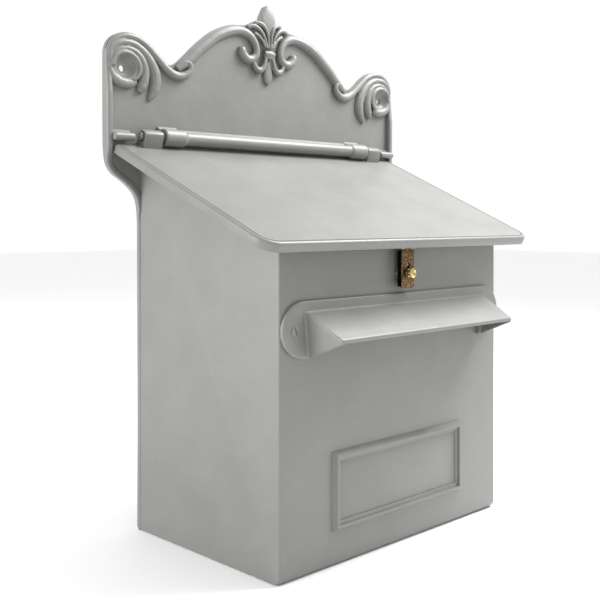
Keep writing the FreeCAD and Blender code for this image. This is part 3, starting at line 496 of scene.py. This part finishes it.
budLeaf = [(0, 501.2), (3.4, 498.9), (6.6, 494.4), (9.2, 489.6), (10, 485.2), (8.6, 480.8), (5.6, 476.4), (3.2, 471.6), (2.2, 465), (0, 460)]
dropLeaf = [(0, 447), (1.8, 444.6), (3.8, 438), (5.6, 431.4), (5.3, 426), (3.2, 421.6), (0, 419.4)]


def leaf(name, half, low, high, doming):
    # A raised leaf with a domed face, mirrored about the middle line.
    edge = smoothPath(half, 3)
    loop = [spot(point.x, low, point.y) for point in edge] + [spot(-point.x, low, point.y) for point in edge[-2:0:-1]]
    piece = thickened(outlineFace(name, loop), (0, -(high - low) * mm, 0))
    editing(piece)
    front = -(high - 0.05) * mm
    heart = tuple(spot(0, high, sum(up for across, up in half) / len(half)))
    pick("FACE", lambda face: all(vertex.co.y < front for vertex in face.verts))
    for scale, rise in ((0.93, 0.9), (0.86, 0.7), (0.76, 0.45), (0.5, 0.3)):
        bpy.ops.mesh.extrude_region_move(TRANSFORM_OT_translate={"value": (0, -rise * doming * mm, 0)})
        bpy.ops.transform.resize(value=(scale, 1, scale), center_override=heart)
    done()
    return outward(piece)


def sided(points, sign):
    return [(sign * across, up, out, radius) for across, up, out, radius in points]


def makeScrolls():
    pieces = [strand(name, points) for name, points in scrollStrands.items()]
    eye = (wallPlate["holeAcross"], wallPlate["holeUp"])
    dish = rod("dish", (eye[0] - 1.5, 2.5, eye[1] + 1), (eye[0] - 1.5, 9.2, eye[1] + 1), 13.0)
    bpy.ops.mesh.primitive_uv_sphere_add(segments=48, ring_count=24, radius=12.4 * mm, location=spot(eye[0] - 0.8, 15.6, eye[1] + 0.8))
    bowl = named("bowl")
    bpy.ops.object.transform_apply(location=True)
    pieces.append(cutOut(dish, bowl))
    right = castTogether("crestScrollRight", pieces, 0.5, 2)
    cutOut(right, rod("hole", (eye[0], -2, eye[1]), (eye[0], 16, eye[1]), wallPlate["holeRadius"] + 0.1))
    left = mirrored(right, "crestScrollLeft")
    for scroll in (right, left):
        finished(scroll, "box", paint, angle=60)


def makeCrest():
    pieces = [leaf("bud", budLeaf, 2.0, 6.4, 1.0), leaf("drop", dropLeaf, 2.0, 6.6, 0.9)]
    for sign in (-1, 1):
        for name, points in crestStrands.items():
            pieces.append(strand(name, sided(points, sign)))
    fan = [(-21, 473), (-9, 480), (9, 480), (21, 473), (6, 455), (-6, 455)]
    pieces.append(thickened(outlineFace("fan", [spot(across, 3, up) for across, up in fan]), (0, -2.4 * mm, 0)))
    pieces.append(strand("band", [(-6.2, 450.6, 7.8, 3.6), (0, 450.9, 8.6, 3.9), (6.2, 450.6, 7.8, 3.6)]))
    pieces.append(strand("bandEdge", [(-6.6, 447.4, 8.4, 1.7), (0, 447.4, 9.6, 1.9), (6.6, 447.4, 8.4, 1.7)]))
    crest = castTogether("crestFleur", pieces, 0.55, 2)
    finished(crest, "box", paint, angle=60)


makeScrolls()
makeCrest()
print("crest made")

# ---- hinge rail along the plate, and the pins

rail = {
    "roll": 6.3,
    "collar": 8.2,
    "stub": 3.7,
    "collarEnds": (112.0, 134.4),
    "stubEnds": (163.0, 183.5),
    "stubOut": 12.6,
    "stubUp": 356.2,
    "fillet": 3.2,
}


def railRun(name, start, end, radius, barOut=hingeOut, barUp=hingeUp):
    # A round rail with a web behind it and a sloping fillet up to the plate.
    bar = rod(name, (start, barOut, barUp), (end, barOut, barUp), radius)
    web = block("web", (start, 3.0, barUp - radius * 0.35), (end, barOut, barUp + radius * 0.9))
    slope = [(3.0, barUp), (3.0, barUp + radius + rail["fillet"]), (4.6, barUp + radius + rail["fillet"]),
             (8.0, barUp + radius + 0.4), (barOut - 2, barUp + radius * 0.9), (barOut - 1, barUp)]
    fillet = thickened(outlineFace("fillet", [spot(start, out, up) for out, up in slope]), ((end - start) * mm, 0, 0))
    return [bar, web, fillet]


def makeRail():
    inner, outer = rail["collarEnds"]
    pieces = railRun("roll", -inner - 2, inner + 2, rail["roll"])
    for sign in (-1, 1):
        pieces += railRun("collar", *sorted((sign * inner, sign * (outer - 0.6))), rail["collar"])
        pieces.append(rod("shoulder", (sign * (inner - 3), hingeOut, hingeUp), (sign * (inner + 0.5), hingeOut, hingeUp), rail["roll"], endRadius=rail["collar"]) if sign > 0
                      else rod("shoulder", (-(inner + 0.5), hingeOut, hingeUp), (-(inner - 3), hingeOut, hingeUp), rail["collar"], endRadius=rail["roll"]))
        pieces += railRun("stub", *sorted(sign * end for end in rail["stubEnds"]), rail["stub"], rail["stubOut"], rail["stubUp"])
    finished(castTogether("hingeRail", pieces, 0.8, 5), "box", paint, angle=50)


def makePins():
    for sign, side in ((-1, "left"), (1, "right")):
        pin = rod("hingePin", (sign * 117, hingeOut, hingeUp), (sign * 157.2, hingeOut, hingeUp), 3.0)
        editing(pin)
        tip = sign * 157.1 * mm
        pick("FACE", lambda face: all(vertex.co.x * sign > tip * sign for vertex in face.verts))
        for inset, rise in ((-0.9, 0.0), (0.0, 0.9), (0.55, 0.35), (0.35, -0.35), (0.5, 0.0), (0.3, 0.45), (0.9, 0.5)):
            if inset < 0:
                bpy.ops.mesh.extrude_region_move(TRANSFORM_OT_translate={"value": (sign * 0.01 * mm, 0, 0)})
                bpy.ops.transform.resize(value=(1, 3.9 / 3, 3.9 / 3), center_override=tuple(spot(sign * 157.2, hingeOut, hingeUp)))
            elif inset:
                bpy.ops.mesh.inset(thickness=inset * mm, depth=0)
                bpy.ops.transform.translate(value=(sign * rise * mm, 0, 0))
            else:
                bpy.ops.mesh.extrude_region_move(TRANSFORM_OT_translate={"value": (sign * rise * mm, 0, 0)})
        done()
        outward(pin)
        modified(pin, "BEVEL", width=0.12 * mm, segments=2, limit_method="ANGLE")
        pin.name = "hingePin_" + side
        finished(pin, "box", paint, ["hinge_pin_" + side])


makeRail()
makePins()
print("hinge rail and pins made")

# ---- box body

body = {
    "frontHalf": 140.8,
    "wallHalf": 151.22,
    "depth": 184.0,
    "backOut": 4.5,
    "frontTop": 268.4,
    "backTop": 345.7,
    "wall": 4.0,
    "foot": 6.5,
    "edge": 1.5,
    "slotHalf": 104.0,
    "slot": (179.0, 205.0),
}


def makeBody():
    bpy.ops.mesh.primitive_cube_add(size=2)
    shell = named("mailBody")
    for vertex in shell.data.vertices:
        across, depth, height = vertex.co
        isFront, isTop = depth < 0, height > 0
        half = body["frontHalf"] if isFront else body["wallHalf"]
        top = body["frontTop"] if isFront else body["backTop"]
        vertex.co = spot(across * half, body["depth"] if isFront else body["backOut"], top if isTop else 0)
    editing(shell)
    low = floorLevel + 1 * mm
    pick("EDGE", lambda edge: middle(edge).z < low and abs(middle(edge).y + body["depth"] * mm) < 1e-5)
    bpy.ops.mesh.bevel(offset=body["foot"] * mm, segments=8, affect="EDGES")
    pick("FACE", lambda face: face.normal.z > 0.5 or face.normal.y > 0.9)
    bpy.ops.mesh.delete(type="FACE")
    done()
    modified(shell, "BEVEL", width=body["edge"] * mm, segments=4, limit_method="ANGLE", angle_limit=math.radians(50))
    modified(shell, "SOLIDIFY", thickness=body["wall"] * mm, offset=-1, use_even_offset=True)
    flanges = []
    for sign in (-1, 1):
        near, far = sorted((sign * 131, sign * 147.2))
        flanges.append(block("flange", (near, 4.6, 3), (far, 8.5, 322), 0.8))
    (low, high), half = body["slot"], body["slotHalf"]
    # The lower edge is drawn a little high, so the hood's lip covers it.
    low += 1.6
    cutOut(shell, block("slotCut", (-half, body["depth"] - 10, low), (half, body["depth"] + 5, high), 1.5))
    shell = joined("mailBody", [shell] + flanges)
    return finished(shell, "box", paint, ["body_shell"], 40)


makeBody()
print("box body made")

# ---- letter hood

hood = {
    "half": 140.5,
    "middle": 196.0,
    "radius": 23.0,
    "plate": 4.0,
    "bevel": 1.9,
    "sheet": 2.8,
    "ridge": (117.5, 210.4),
    "lip": (111.2, 223.6, 191.2),
    "edge": 3.5,
    "toe": (113.6, 172.4),
}


def wedge(name, inset, reach, fall):
    # The awning's outer shape, or with an inset the space under it.
    face = body["depth"] + hood["plate"] - 1.2
    (ridge, ridgeUp), (lip, lipOut, lipUp), (toe, toeUp) = hood["ridge"], hood["lip"], hood["toe"]
    slope = (ridgeUp - lipUp) / (lipOut - body["depth"] - hood["plate"])
    roof = inset * math.hypot(slope, 1)
    overrun = (reach - lipOut) * slope
    corners = []
    for sign in (-1, 1):
        corners.append(spot(sign * (ridge - inset), face, ridgeUp - roof + slope * 1.2))
        corners.append(spot(sign * (lip - inset), reach, lipUp - roof - overrun))
        corners.append(spot(sign * (lip - inset), reach, lipUp - hood["edge"] - fall))
        corners.append(spot(sign * (toe - inset), face, toeUp - fall))
    piece = thickened(outlineFace(name, corners[:4]), (1, 0, 0))
    far = sorted((vertex for vertex in piece.data.vertices if vertex.co.x > 0.5), key=lambda vertex: vertex.co.z)
    places = sorted(corners[4:], key=lambda place: place.z)
    for vertex, place in zip(far, places):
        vertex.co = place
    return outward(piece)


def makeHood():
    face = body["depth"] + hood["plate"]
    turns = [math.radians(angle) for angle in range(-90, 91, 6)]
    end = hood["half"] - hood["radius"]
    right = [(end + hood["radius"] * math.cos(turn), hood["middle"] + hood["radius"] * math.sin(turn)) for turn in turns]
    stadium = right + [(-across, up) for across, up in reversed(right)]
    plate = thickened(outlineFace("hoodPlate", [spot(across, body["depth"], up) for across, up in stadium]), (0, -hood["plate"] * mm, 0))
    editing(plate)
    front = -(face - 0.05) * mm
    pick("EDGE", lambda edge: all(vertex.co.y < front for vertex in edge.verts))
    bpy.ops.mesh.bevel(offset=hood["bevel"] * mm, segments=4, affect="EDGES")
    done()
    # The mouth runs down past the plate, so the wall shows between the cheeks.
    half = hood["toe"][0] - hood["sheet"] - 0.4
    cutOut(plate, block("mouth", (-half, body["depth"] - 2, hood["middle"] - hood["radius"] - 2), (half, face + 3, body["slot"][1])))
    lipOut = hood["lip"][1]
    awning = wedge("awning", 0, lipOut, 0)
    cutOut(awning, wedge("under", hood["sheet"], lipOut + 6, 14))
    modified(awning, "BEVEL", width=0.8 * mm, segments=3, limit_method="ANGLE", angle_limit=math.radians(25))
    piece = castTogether("letterHood", [plate, awning], 0.8, 2)
    finished(piece, "box", paint, ["letter_hood"], 50)


def slottedHead(name, across, up, out, radius, thick, turn):
    # A raised screw head with a cut slot.
    head = rod(name, (across, out - 1.5, up), (across, out + thick * 0.35, up), radius, 40)
    editing(head)
    front = -(out + thick * 0.3) * mm
    pick("FACE", lambda face: all(vertex.co.y < front for vertex in face.verts))
    for inset, rise in ((0.14, 0.28), (0.18, 0.2), (0.25, 0.12), (0.2, 0.05)):
        bpy.ops.mesh.inset(thickness=radius * inset * mm, depth=0)
        bpy.ops.transform.translate(value=(0, -thick * rise * mm, 0))
    done()
    outward(head)
    slot = block("slot", (-radius - 1, out + thick * 0.3, -0.45), (radius + 1, out + thick + 2, 0.45))
    slot.data.transform(Matrix.Translation(Vector((0, 0, -floorLevel))))
    slot.data.transform(Matrix.Translation(Vector((across * mm, 0, floorLevel + up * mm))) @ Matrix.Rotation(math.radians(turn), 4, "Y"))
    cutOut(head, slot)
    return head


makeHood()
screwHeads = [slottedHead("screw", side * 128.0, hood["middle"], body["depth"] + hood["plate"], 3.9, 1.3, turn) for side, turn in ((-1, 75), (1, 62))]
finished(joined("hoodScrewHeads", screwHeads), "box", paint, ["hood_screws"], 40)
print("letter hood made")

# ---- name frame and its blank panel

nameFrame = {
    "half": 84.4,
    "ends": (29.0, 94.2),
    "steps": ((2.6, -4.0), (0.4, -0.4), (1.9, 0.0), (0.3, 0.35), (0.2, 2.1), (2.9, 0.1), (0.2, 1.5)),
    "panelHalf": 76.6,
    "panelEnds": (37.2, 86.0),
}


def makeNameFrame():
    low, high = nameFrame["ends"]
    half = nameFrame["half"]
    piece = block("nameFrame", (-half, body["depth"] - 0.4, low), (half, body["depth"] + 0.3, high))
    editing(piece)
    pick("FACE", lambda face: face.normal.y < -0.9)
    for inset, rise in nameFrame["steps"]:
        bpy.ops.mesh.inset(thickness=inset * mm, depth=0)
        bpy.ops.transform.translate(value=(0, rise * mm, 0))
    done()
    outward(piece)
    modified(piece, "BEVEL", width=0.35 * mm, segments=3, limit_method="ANGLE", angle_limit=math.radians(25))
    finished(piece, "box", paint, ["name_frame"], 40)
    low, high = nameFrame["panelEnds"]
    half = nameFrame["panelHalf"]
    panel = block("nameBlank", (-half, body["depth"] + 0.2, low), (half, body["depth"] + 1.2, high), 0.4)
    finished(panel, "box", paint, ["name_blank"], 40)


makeNameFrame()
print("name frame made")

# ---- lid, drawn flat round its hinge line and then tilted

lid = {
    "front": -212.0,
    "back": 2.8,
    "frontHalf": 171.6,
    "backHalf": 181.6,
    "corner": 16.0,
    "top": -8.8,
    "thick": 8.2,
    "bead": 2.3,
    "quirk": (0.7, 1.2),
    "recess": (((0.936, 0.894, 1), 0), ((0.993, 0.988, 1), 3.2)),
    "lug": (136.2, 156.0),
    "lugHalf": 5.6,
    "lugRound": 3.4,
}
lidPlace = Matrix.Translation(spot(0, hingeOut, hingeUp)) @ Matrix.Rotation(lidAngle, 4, "X")


def makeLid():
    low = lid["top"] - lid["thick"]
    corners = [(-lid["frontHalf"], lid["front"]), (lid["frontHalf"], lid["front"]), (lid["backHalf"], lid["back"]), (-lid["backHalf"], lid["back"])]
    panel = outlineFace("mailLid", [Vector((across * mm, along * mm, low * mm)) for across, along in corners])
    editing(panel)
    pick("VERT", lambda vertex: vertex.co.y < -0.1)
    bpy.ops.mesh.bevel(affect="VERTICES", offset=lid["corner"] * mm, segments=12)
    pick("VERT", lambda vertex: vertex.co.y > -0.001)
    bpy.ops.mesh.bevel(affect="VERTICES", offset=5 * mm, segments=6)
    bpy.ops.mesh.select_all(action="SELECT")
    bpy.ops.mesh.extrude_region_move(TRANSFORM_OT_translate={"value": (0, 0, lid["thick"] * mm)})
    bpy.ops.mesh.select_all(action="SELECT")
    bpy.ops.mesh.normals_make_consistent(inside=False)
    top = (lid["top"] - 0.05) * mm
    pick("EDGE", lambda edge: all(vertex.co.z > top for vertex in edge.verts))
    bpy.ops.mesh.bevel(offset=lid["bead"] * mm, segments=6, affect="EDGES")
    pick("FACE", lambda face: face.normal.z > 0.99 and face.calc_area() > 0.01)
    width, depth = lid["quirk"]
    for inset, rise in ((0.7, 0), (width, -depth), (width, depth)):
        bpy.ops.mesh.inset(thickness=inset * mm, depth=0)
        bpy.ops.transform.translate(value=(0, 0, rise * mm))
    bottom = (low + 0.05) * mm
    pick("EDGE", lambda edge: all(vertex.co.z < bottom for vertex in edge.verts))
    bpy.ops.mesh.bevel(offset=0.7 * mm, segments=3, affect="EDGES")
    pick("FACE", lambda face: face.normal.z < -0.99 and face.calc_area() > 0.01)
    heart = (0, (lid["front"] + lid["back"]) / 2 * mm, 0)
    for scale, rise in lid["recess"]:
        bpy.ops.mesh.extrude_region_move(TRANSFORM_OT_translate={"value": (0, 0, rise * mm)})
        bpy.ops.transform.resize(value=scale, center_override=heart)
    done()
    outward(panel)
    pieces = [panel]
    half, turn = lid["lugHalf"], lid["lugRound"]
    arc = [(half - turn + turn * math.sin(math.radians(angle)), half - turn + turn * math.cos(math.radians(angle))) for angle in range(0, 91, 15)]
    profile = [(-along, up) for along, up in reversed(arc)] + arc + [(half + 1.5, lid["top"] - 0.8), (-half - 1.5, lid["top"] - 0.8)]
    for sign in (-1, 1):
        near, far = sorted(sign * value for value in lid["lug"])
        lug = thickened(outlineFace("lug", [Vector((near * mm, along * mm, up * mm)) for along, up in profile]), ((far - near) * mm, 0, 0))
        modified(lug, "BEVEL", width=0.7 * mm, segments=3, limit_method="ANGLE", angle_limit=math.radians(50))
        for radius, reach in ((3.15, 30), (4.6, 3)):
            bpy.ops.mesh.primitive_cylinder_add(vertices=48, radius=radius * mm, depth=reach * 2 * mm, rotation=(0, math.pi / 2, 0), location=(sign * lid["lug"][1] * mm, 0, 0))
            tool = named("bore")
            bpy.ops.object.transform_apply(location=True, rotation=True)
            cutOut(lug, tool)
        pieces.append(lug)
    bpy.ops.mesh.primitive_cube_add(size=1)
    pad = named("pad")
    for vertex in pad.data.vertices:
        vertex.co = Vector((vertex.co.x * 28 * mm, (-200.85 + vertex.co.y * 16.3) * mm, (-15.5 + vertex.co.z * 5) * mm))
    modified(pad, "BEVEL", width=0.8 * mm, segments=3)
    pieces.append(pad)
    piece = joined("mailLid", pieces)
    piece.data.transform(lidPlace)
    finished(piece, "lid", paint, ["lid"], 35)


makeLid()
print("lid made")

# ---- hasp: leaf under the lid, hinged strap and turn knob

hasp = {
    "reach": 201.5,
    "drop": 20.5,
    "half": 8.3,
    "low": 223.2,
    "thick": 1.5,
    "lead": 1.5,
    "return": 5.2,
    "slotHalf": 2.0,
    "slot": (233.0, 245.8),
    "knobUp": 236.2,
}
keeper = {
    "half": 6.6,
    "low": 230.6,
    "high": 241.8,
    "cavity": 5.0,
    "gap": 2.0,
    "lip": 1.2,
    "reach": 5.3,
}
pivot = lidPlace @ Vector((0, -hasp["reach"] * mm, -hasp["drop"] * mm))
pivotOut = -pivot.y / mm
pivotUp = (pivot.z - floorLevel) / mm


def makeStrap():
    face = pivotOut + hasp["lead"]
    strap = block("haspStrap", (-hasp["half"], face - hasp["thick"], hasp["low"]), (hasp["half"], face, pivotUp - 2.7))
    editing(strap)
    low = floorLevel + (hasp["low"] + 1) * mm
    pick("EDGE", lambda edge: middle(edge).z < low and abs(edge.verts[0].co.x - edge.verts[1].co.x) < 1e-6 and abs(edge.verts[0].co.z - edge.verts[1].co.z) < 1e-6)
    bpy.ops.mesh.bevel(offset=2.4 * mm, segments=5, affect="EDGES")
    front = -(face - 0.05) * mm
    pick("EDGE", lambda edge: all(vertex.co.y < front for vertex in edge.verts))
    bpy.ops.mesh.bevel(offset=0.45 * mm, segments=3, affect="EDGES")
    done()
    low, high = hasp["slot"]
    half = hasp["slotHalf"]
    slot = [rod("slotEnd", (0, face - 4, up), (0, face + 4, up), half, 32) for up in (low + half, high - half)]
    slot.append(block("slotMiddle", (-half, face - 4, low + half), (half, face + 4, high - half)))
    for tool in slot:
        cutOut(strap, tool)
    knuckle = rod("knuckle", (-2.7, pivotOut, pivotUp), (2.7, pivotOut, pivotUp), 2.4, 32)
    tongue = block("tongue", (-2.7, face - hasp["thick"], pivotUp - 4), (2.7, face, pivotUp), 0.2)
    for tool in (rod("bore", (-9, pivotOut, pivotUp), (9, pivotOut, pivotUp), 1.16, 24),):
        cutOut(knuckle, tool)
    piece = joined("haspStrap", [strap, knuckle, tongue])
    finished(piece, "hasp", brownBrass, ["hasp_strap"], 35)
    # The strap's side returns are finished near-black: painted shade standing in for the dark band of shade beside the
    # strap.
    back, edge = face - hasp["return"], face - 0.7
    low, high = hasp["low"] + 1.5, pivotUp - 3.4
    sides = [block("side", (start, back, low), (start + 1.1, edge, high), 0.2) for start in (-hasp["half"], hasp["half"] - 1.1)]
    finished(joined("haspShadeReturns", sides), "hasp", paintedShadeBrass)


def makeLeaf():
    # Drawn in the lid's slant: a folded plate with two knuckles either side of the strap's.
    along, down = -hasp["reach"], -hasp["drop"]
    pieces = []
    for start, end in ((-8.3, -3.0), (3.0, 8.3)):
        bpy.ops.mesh.primitive_cylinder_add(vertices=32, radius=2.4 * mm, depth=(end - start) * mm, rotation=(0, math.pi / 2, 0), location=((start + end) / 2 * mm, along * mm, down * mm))
        knuckle = named("knuckle")
        bpy.ops.object.transform_apply(location=True, rotation=True)
        modified(knuckle, "BEVEL", width=0.25 * mm, segments=2, limit_method="ANGLE")
        pieces.append(knuckle)
        bpy.ops.mesh.primitive_cube_add(size=1)
        arm = named("arm")
        for vertex in arm.data.vertices:
            vertex.co = Vector(((start + (vertex.co.x + 0.5) * (end - start)) * mm, (along + (vertex.co.y + 0.5) * 4) * mm, (-19.4 + (vertex.co.z + 0.5) * 1.4) * mm))
        pieces.append(arm)
    bpy.ops.mesh.primitive_cube_add(size=1)
    leaf = named("leaf")
    for vertex in leaf.data.vertices:
        vertex.co = Vector((vertex.co.x * 16.6 * mm, (along + 2.7 + (vertex.co.y + 0.5) * 5.4) * mm, (-19.4 + (vertex.co.z + 0.5) * 1.4) * mm))
    modified(leaf, "BEVEL", width=0.3 * mm, segments=2)
    piece = joined("haspLeaf", [leaf] + pieces)
    piece.data.transform(lidPlace)
    finished(piece, "lid", brass, ["hasp_leaf"], 35)


def makeKnob():
    # Turned from bar: a flange on the strap, a neck and a rimmed head.
    start = pivotOut + hasp["lead"] + 0.3
    profile = ((3.5, 0.0), (3.7, 0.3), (3.5, 0.9), (2.3, 1.3), (1.9, 2.2), (2.2, 3.0), (3.9, 3.5), (4.5, 4.0), (4.6, 4.7),
               (4.3, 5.3), (3.6, 5.6), (3.0, 5.2), (2.6, 4.8), (1.4, 4.9), (0.7, 5.1))
    knob = rod("turnKnob", (0, start - 1.0, hasp["knobUp"]), (0, start, hasp["knobUp"]), 2.1, 48)
    editing(knob)
    front = -(start - 0.05) * mm
    pick("FACE", lambda face: all(vertex.co.y < front for vertex in face.verts))
    radius, out = 2.1, 0.0
    for nextRadius, nextOut in profile:
        bpy.ops.mesh.extrude_region_move(TRANSFORM_OT_translate={"value": (0, -(nextOut - out) * mm, 0)})
        scale = nextRadius / radius
        bpy.ops.transform.resize(value=(scale, 1, scale), center_override=tuple(spot(0, start + nextOut, hasp["knobUp"])))
        radius, out = nextRadius, nextOut
    done()
    outward(knob)
    shank = rod("shank", (0, start - 6.2, hasp["knobUp"]), (0, start - 0.5, hasp["knobUp"]), 1.5, 24)
    piece = joined("turnKnob", [knob, shank])
    finished(piece, "knob", brass, ["turn_knob"], 40)


def makeKeeper():
    # A folded clip: a base on the wall and two lips with a gap for the knob's stem.
    face = body["depth"]
    clip = block("keeperClip", (-keeper["half"], face, keeper["low"]), (keeper["half"], face + keeper["reach"], keeper["high"]), 0.35)
    tall = (keeper["low"] - 2, keeper["high"] + 2)
    for half, near, far in ((keeper["cavity"], 1.0, keeper["reach"] - keeper["lip"]), (keeper["gap"], 1.0, keeper["reach"] + 2)):
        cutOut(clip, block("room", (-half, face + near, tall[0]), (half, face + far, tall[1])))
    finished(clip, "box", brass, ["keeper"], 35)


makeStrap()
makeLeaf()
makeKnob()
makeKeeper()
print("hasp made")

# ---- fastenings and small parts that keep their shape

# The catch bar takes the near-black brass that is painted shade, like the strap's side returns.
for node, finish in (("hasp_pin", brownBrass), ("knob_washer", brass), ("catch_bar", paintedShadeBrass), ("hasp_leaf_screws", brass),
                     ("shell_screws", zinc), ("shell_nuts", zinc), ("hood_nuts", zinc), ("name_frame_screws", zinc), ("keeper_screws", zinc)):
    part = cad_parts[node]
    part.data.materials.clear()
    part.data.materials.append(finish)
print("small parts finished")

# ---- stage, light and camera

studio = {
    "floor": 0.90,
    "world": 1.0,
    "lamps": {
        "overhead": {"place": (0.5, -0.34, 0.62), "aim": (0.05, -0.12, -0.2), "size": 0.6, "power": 22},
        "left": {"place": (-1.8, 0.45, 0.1), "aim": (-0.15, -0.1, -0.25), "size": 1.0, "power": 26},
    },
}

bpy.ops.mesh.primitive_plane_add(size=12, location=(0, 0, floorLevel - 0.2 * mm))
stageFloor = named("stageFloor")
floorFinish = Finish("paleFloor")
haze = floorFinish.noise(300, 2.0)
stageFloor.data.materials.append(floorFinish.close(floorFinish.mixed(haze, (studio["floor"],) * 3 + (1,), (studio["floor"] * 1.02,) * 3 + (1,)), 0.6 + haze * 0.1, 0.0, floorFinish.bump(haze, 0.1, 0.1)))

world = bpy.data.worlds.new("studio")
bpy.context.scene.world = world
world.use_nodes = True
sky = world.node_tree.nodes["Background"]
sky.inputs["Color"].default_value = (1, 1, 1, 1)
sky.inputs["Strength"].default_value = studio["world"]

for name, setting in studio["lamps"].items():
    data = bpy.data.lights.new(name, "AREA")
    data.energy = setting["power"]
    data.size = setting["size"]
    lamp = bpy.data.objects.new(name, data)
    bpy.context.scene.collection.objects.link(lamp)
    lamp.location = setting["place"]
    lamp.rotation_euler = (Vector(setting["aim"]) - Vector(setting["place"])).to_track_quat("-Z", "Y").to_euler()

lens = bpy.data.cameras.new("camera")
lens.lens = 52.8
lens.sensor_width = 36.0
lens.shift_x = 0.00757
lens.shift_y = -0.1368
camera = bpy.data.objects.new("camera", lens)
bpy.context.scene.collection.objects.link(camera)
camera.location = (-0.58717, -0.69080, -0.13405)
camera.rotation_euler = (math.radians(90), 0, math.radians(-42.428))
bpy.context.scene.camera = camera
bpy.context.scene.view_settings.view_transform = "Standard"
print("stage, light and camera set")
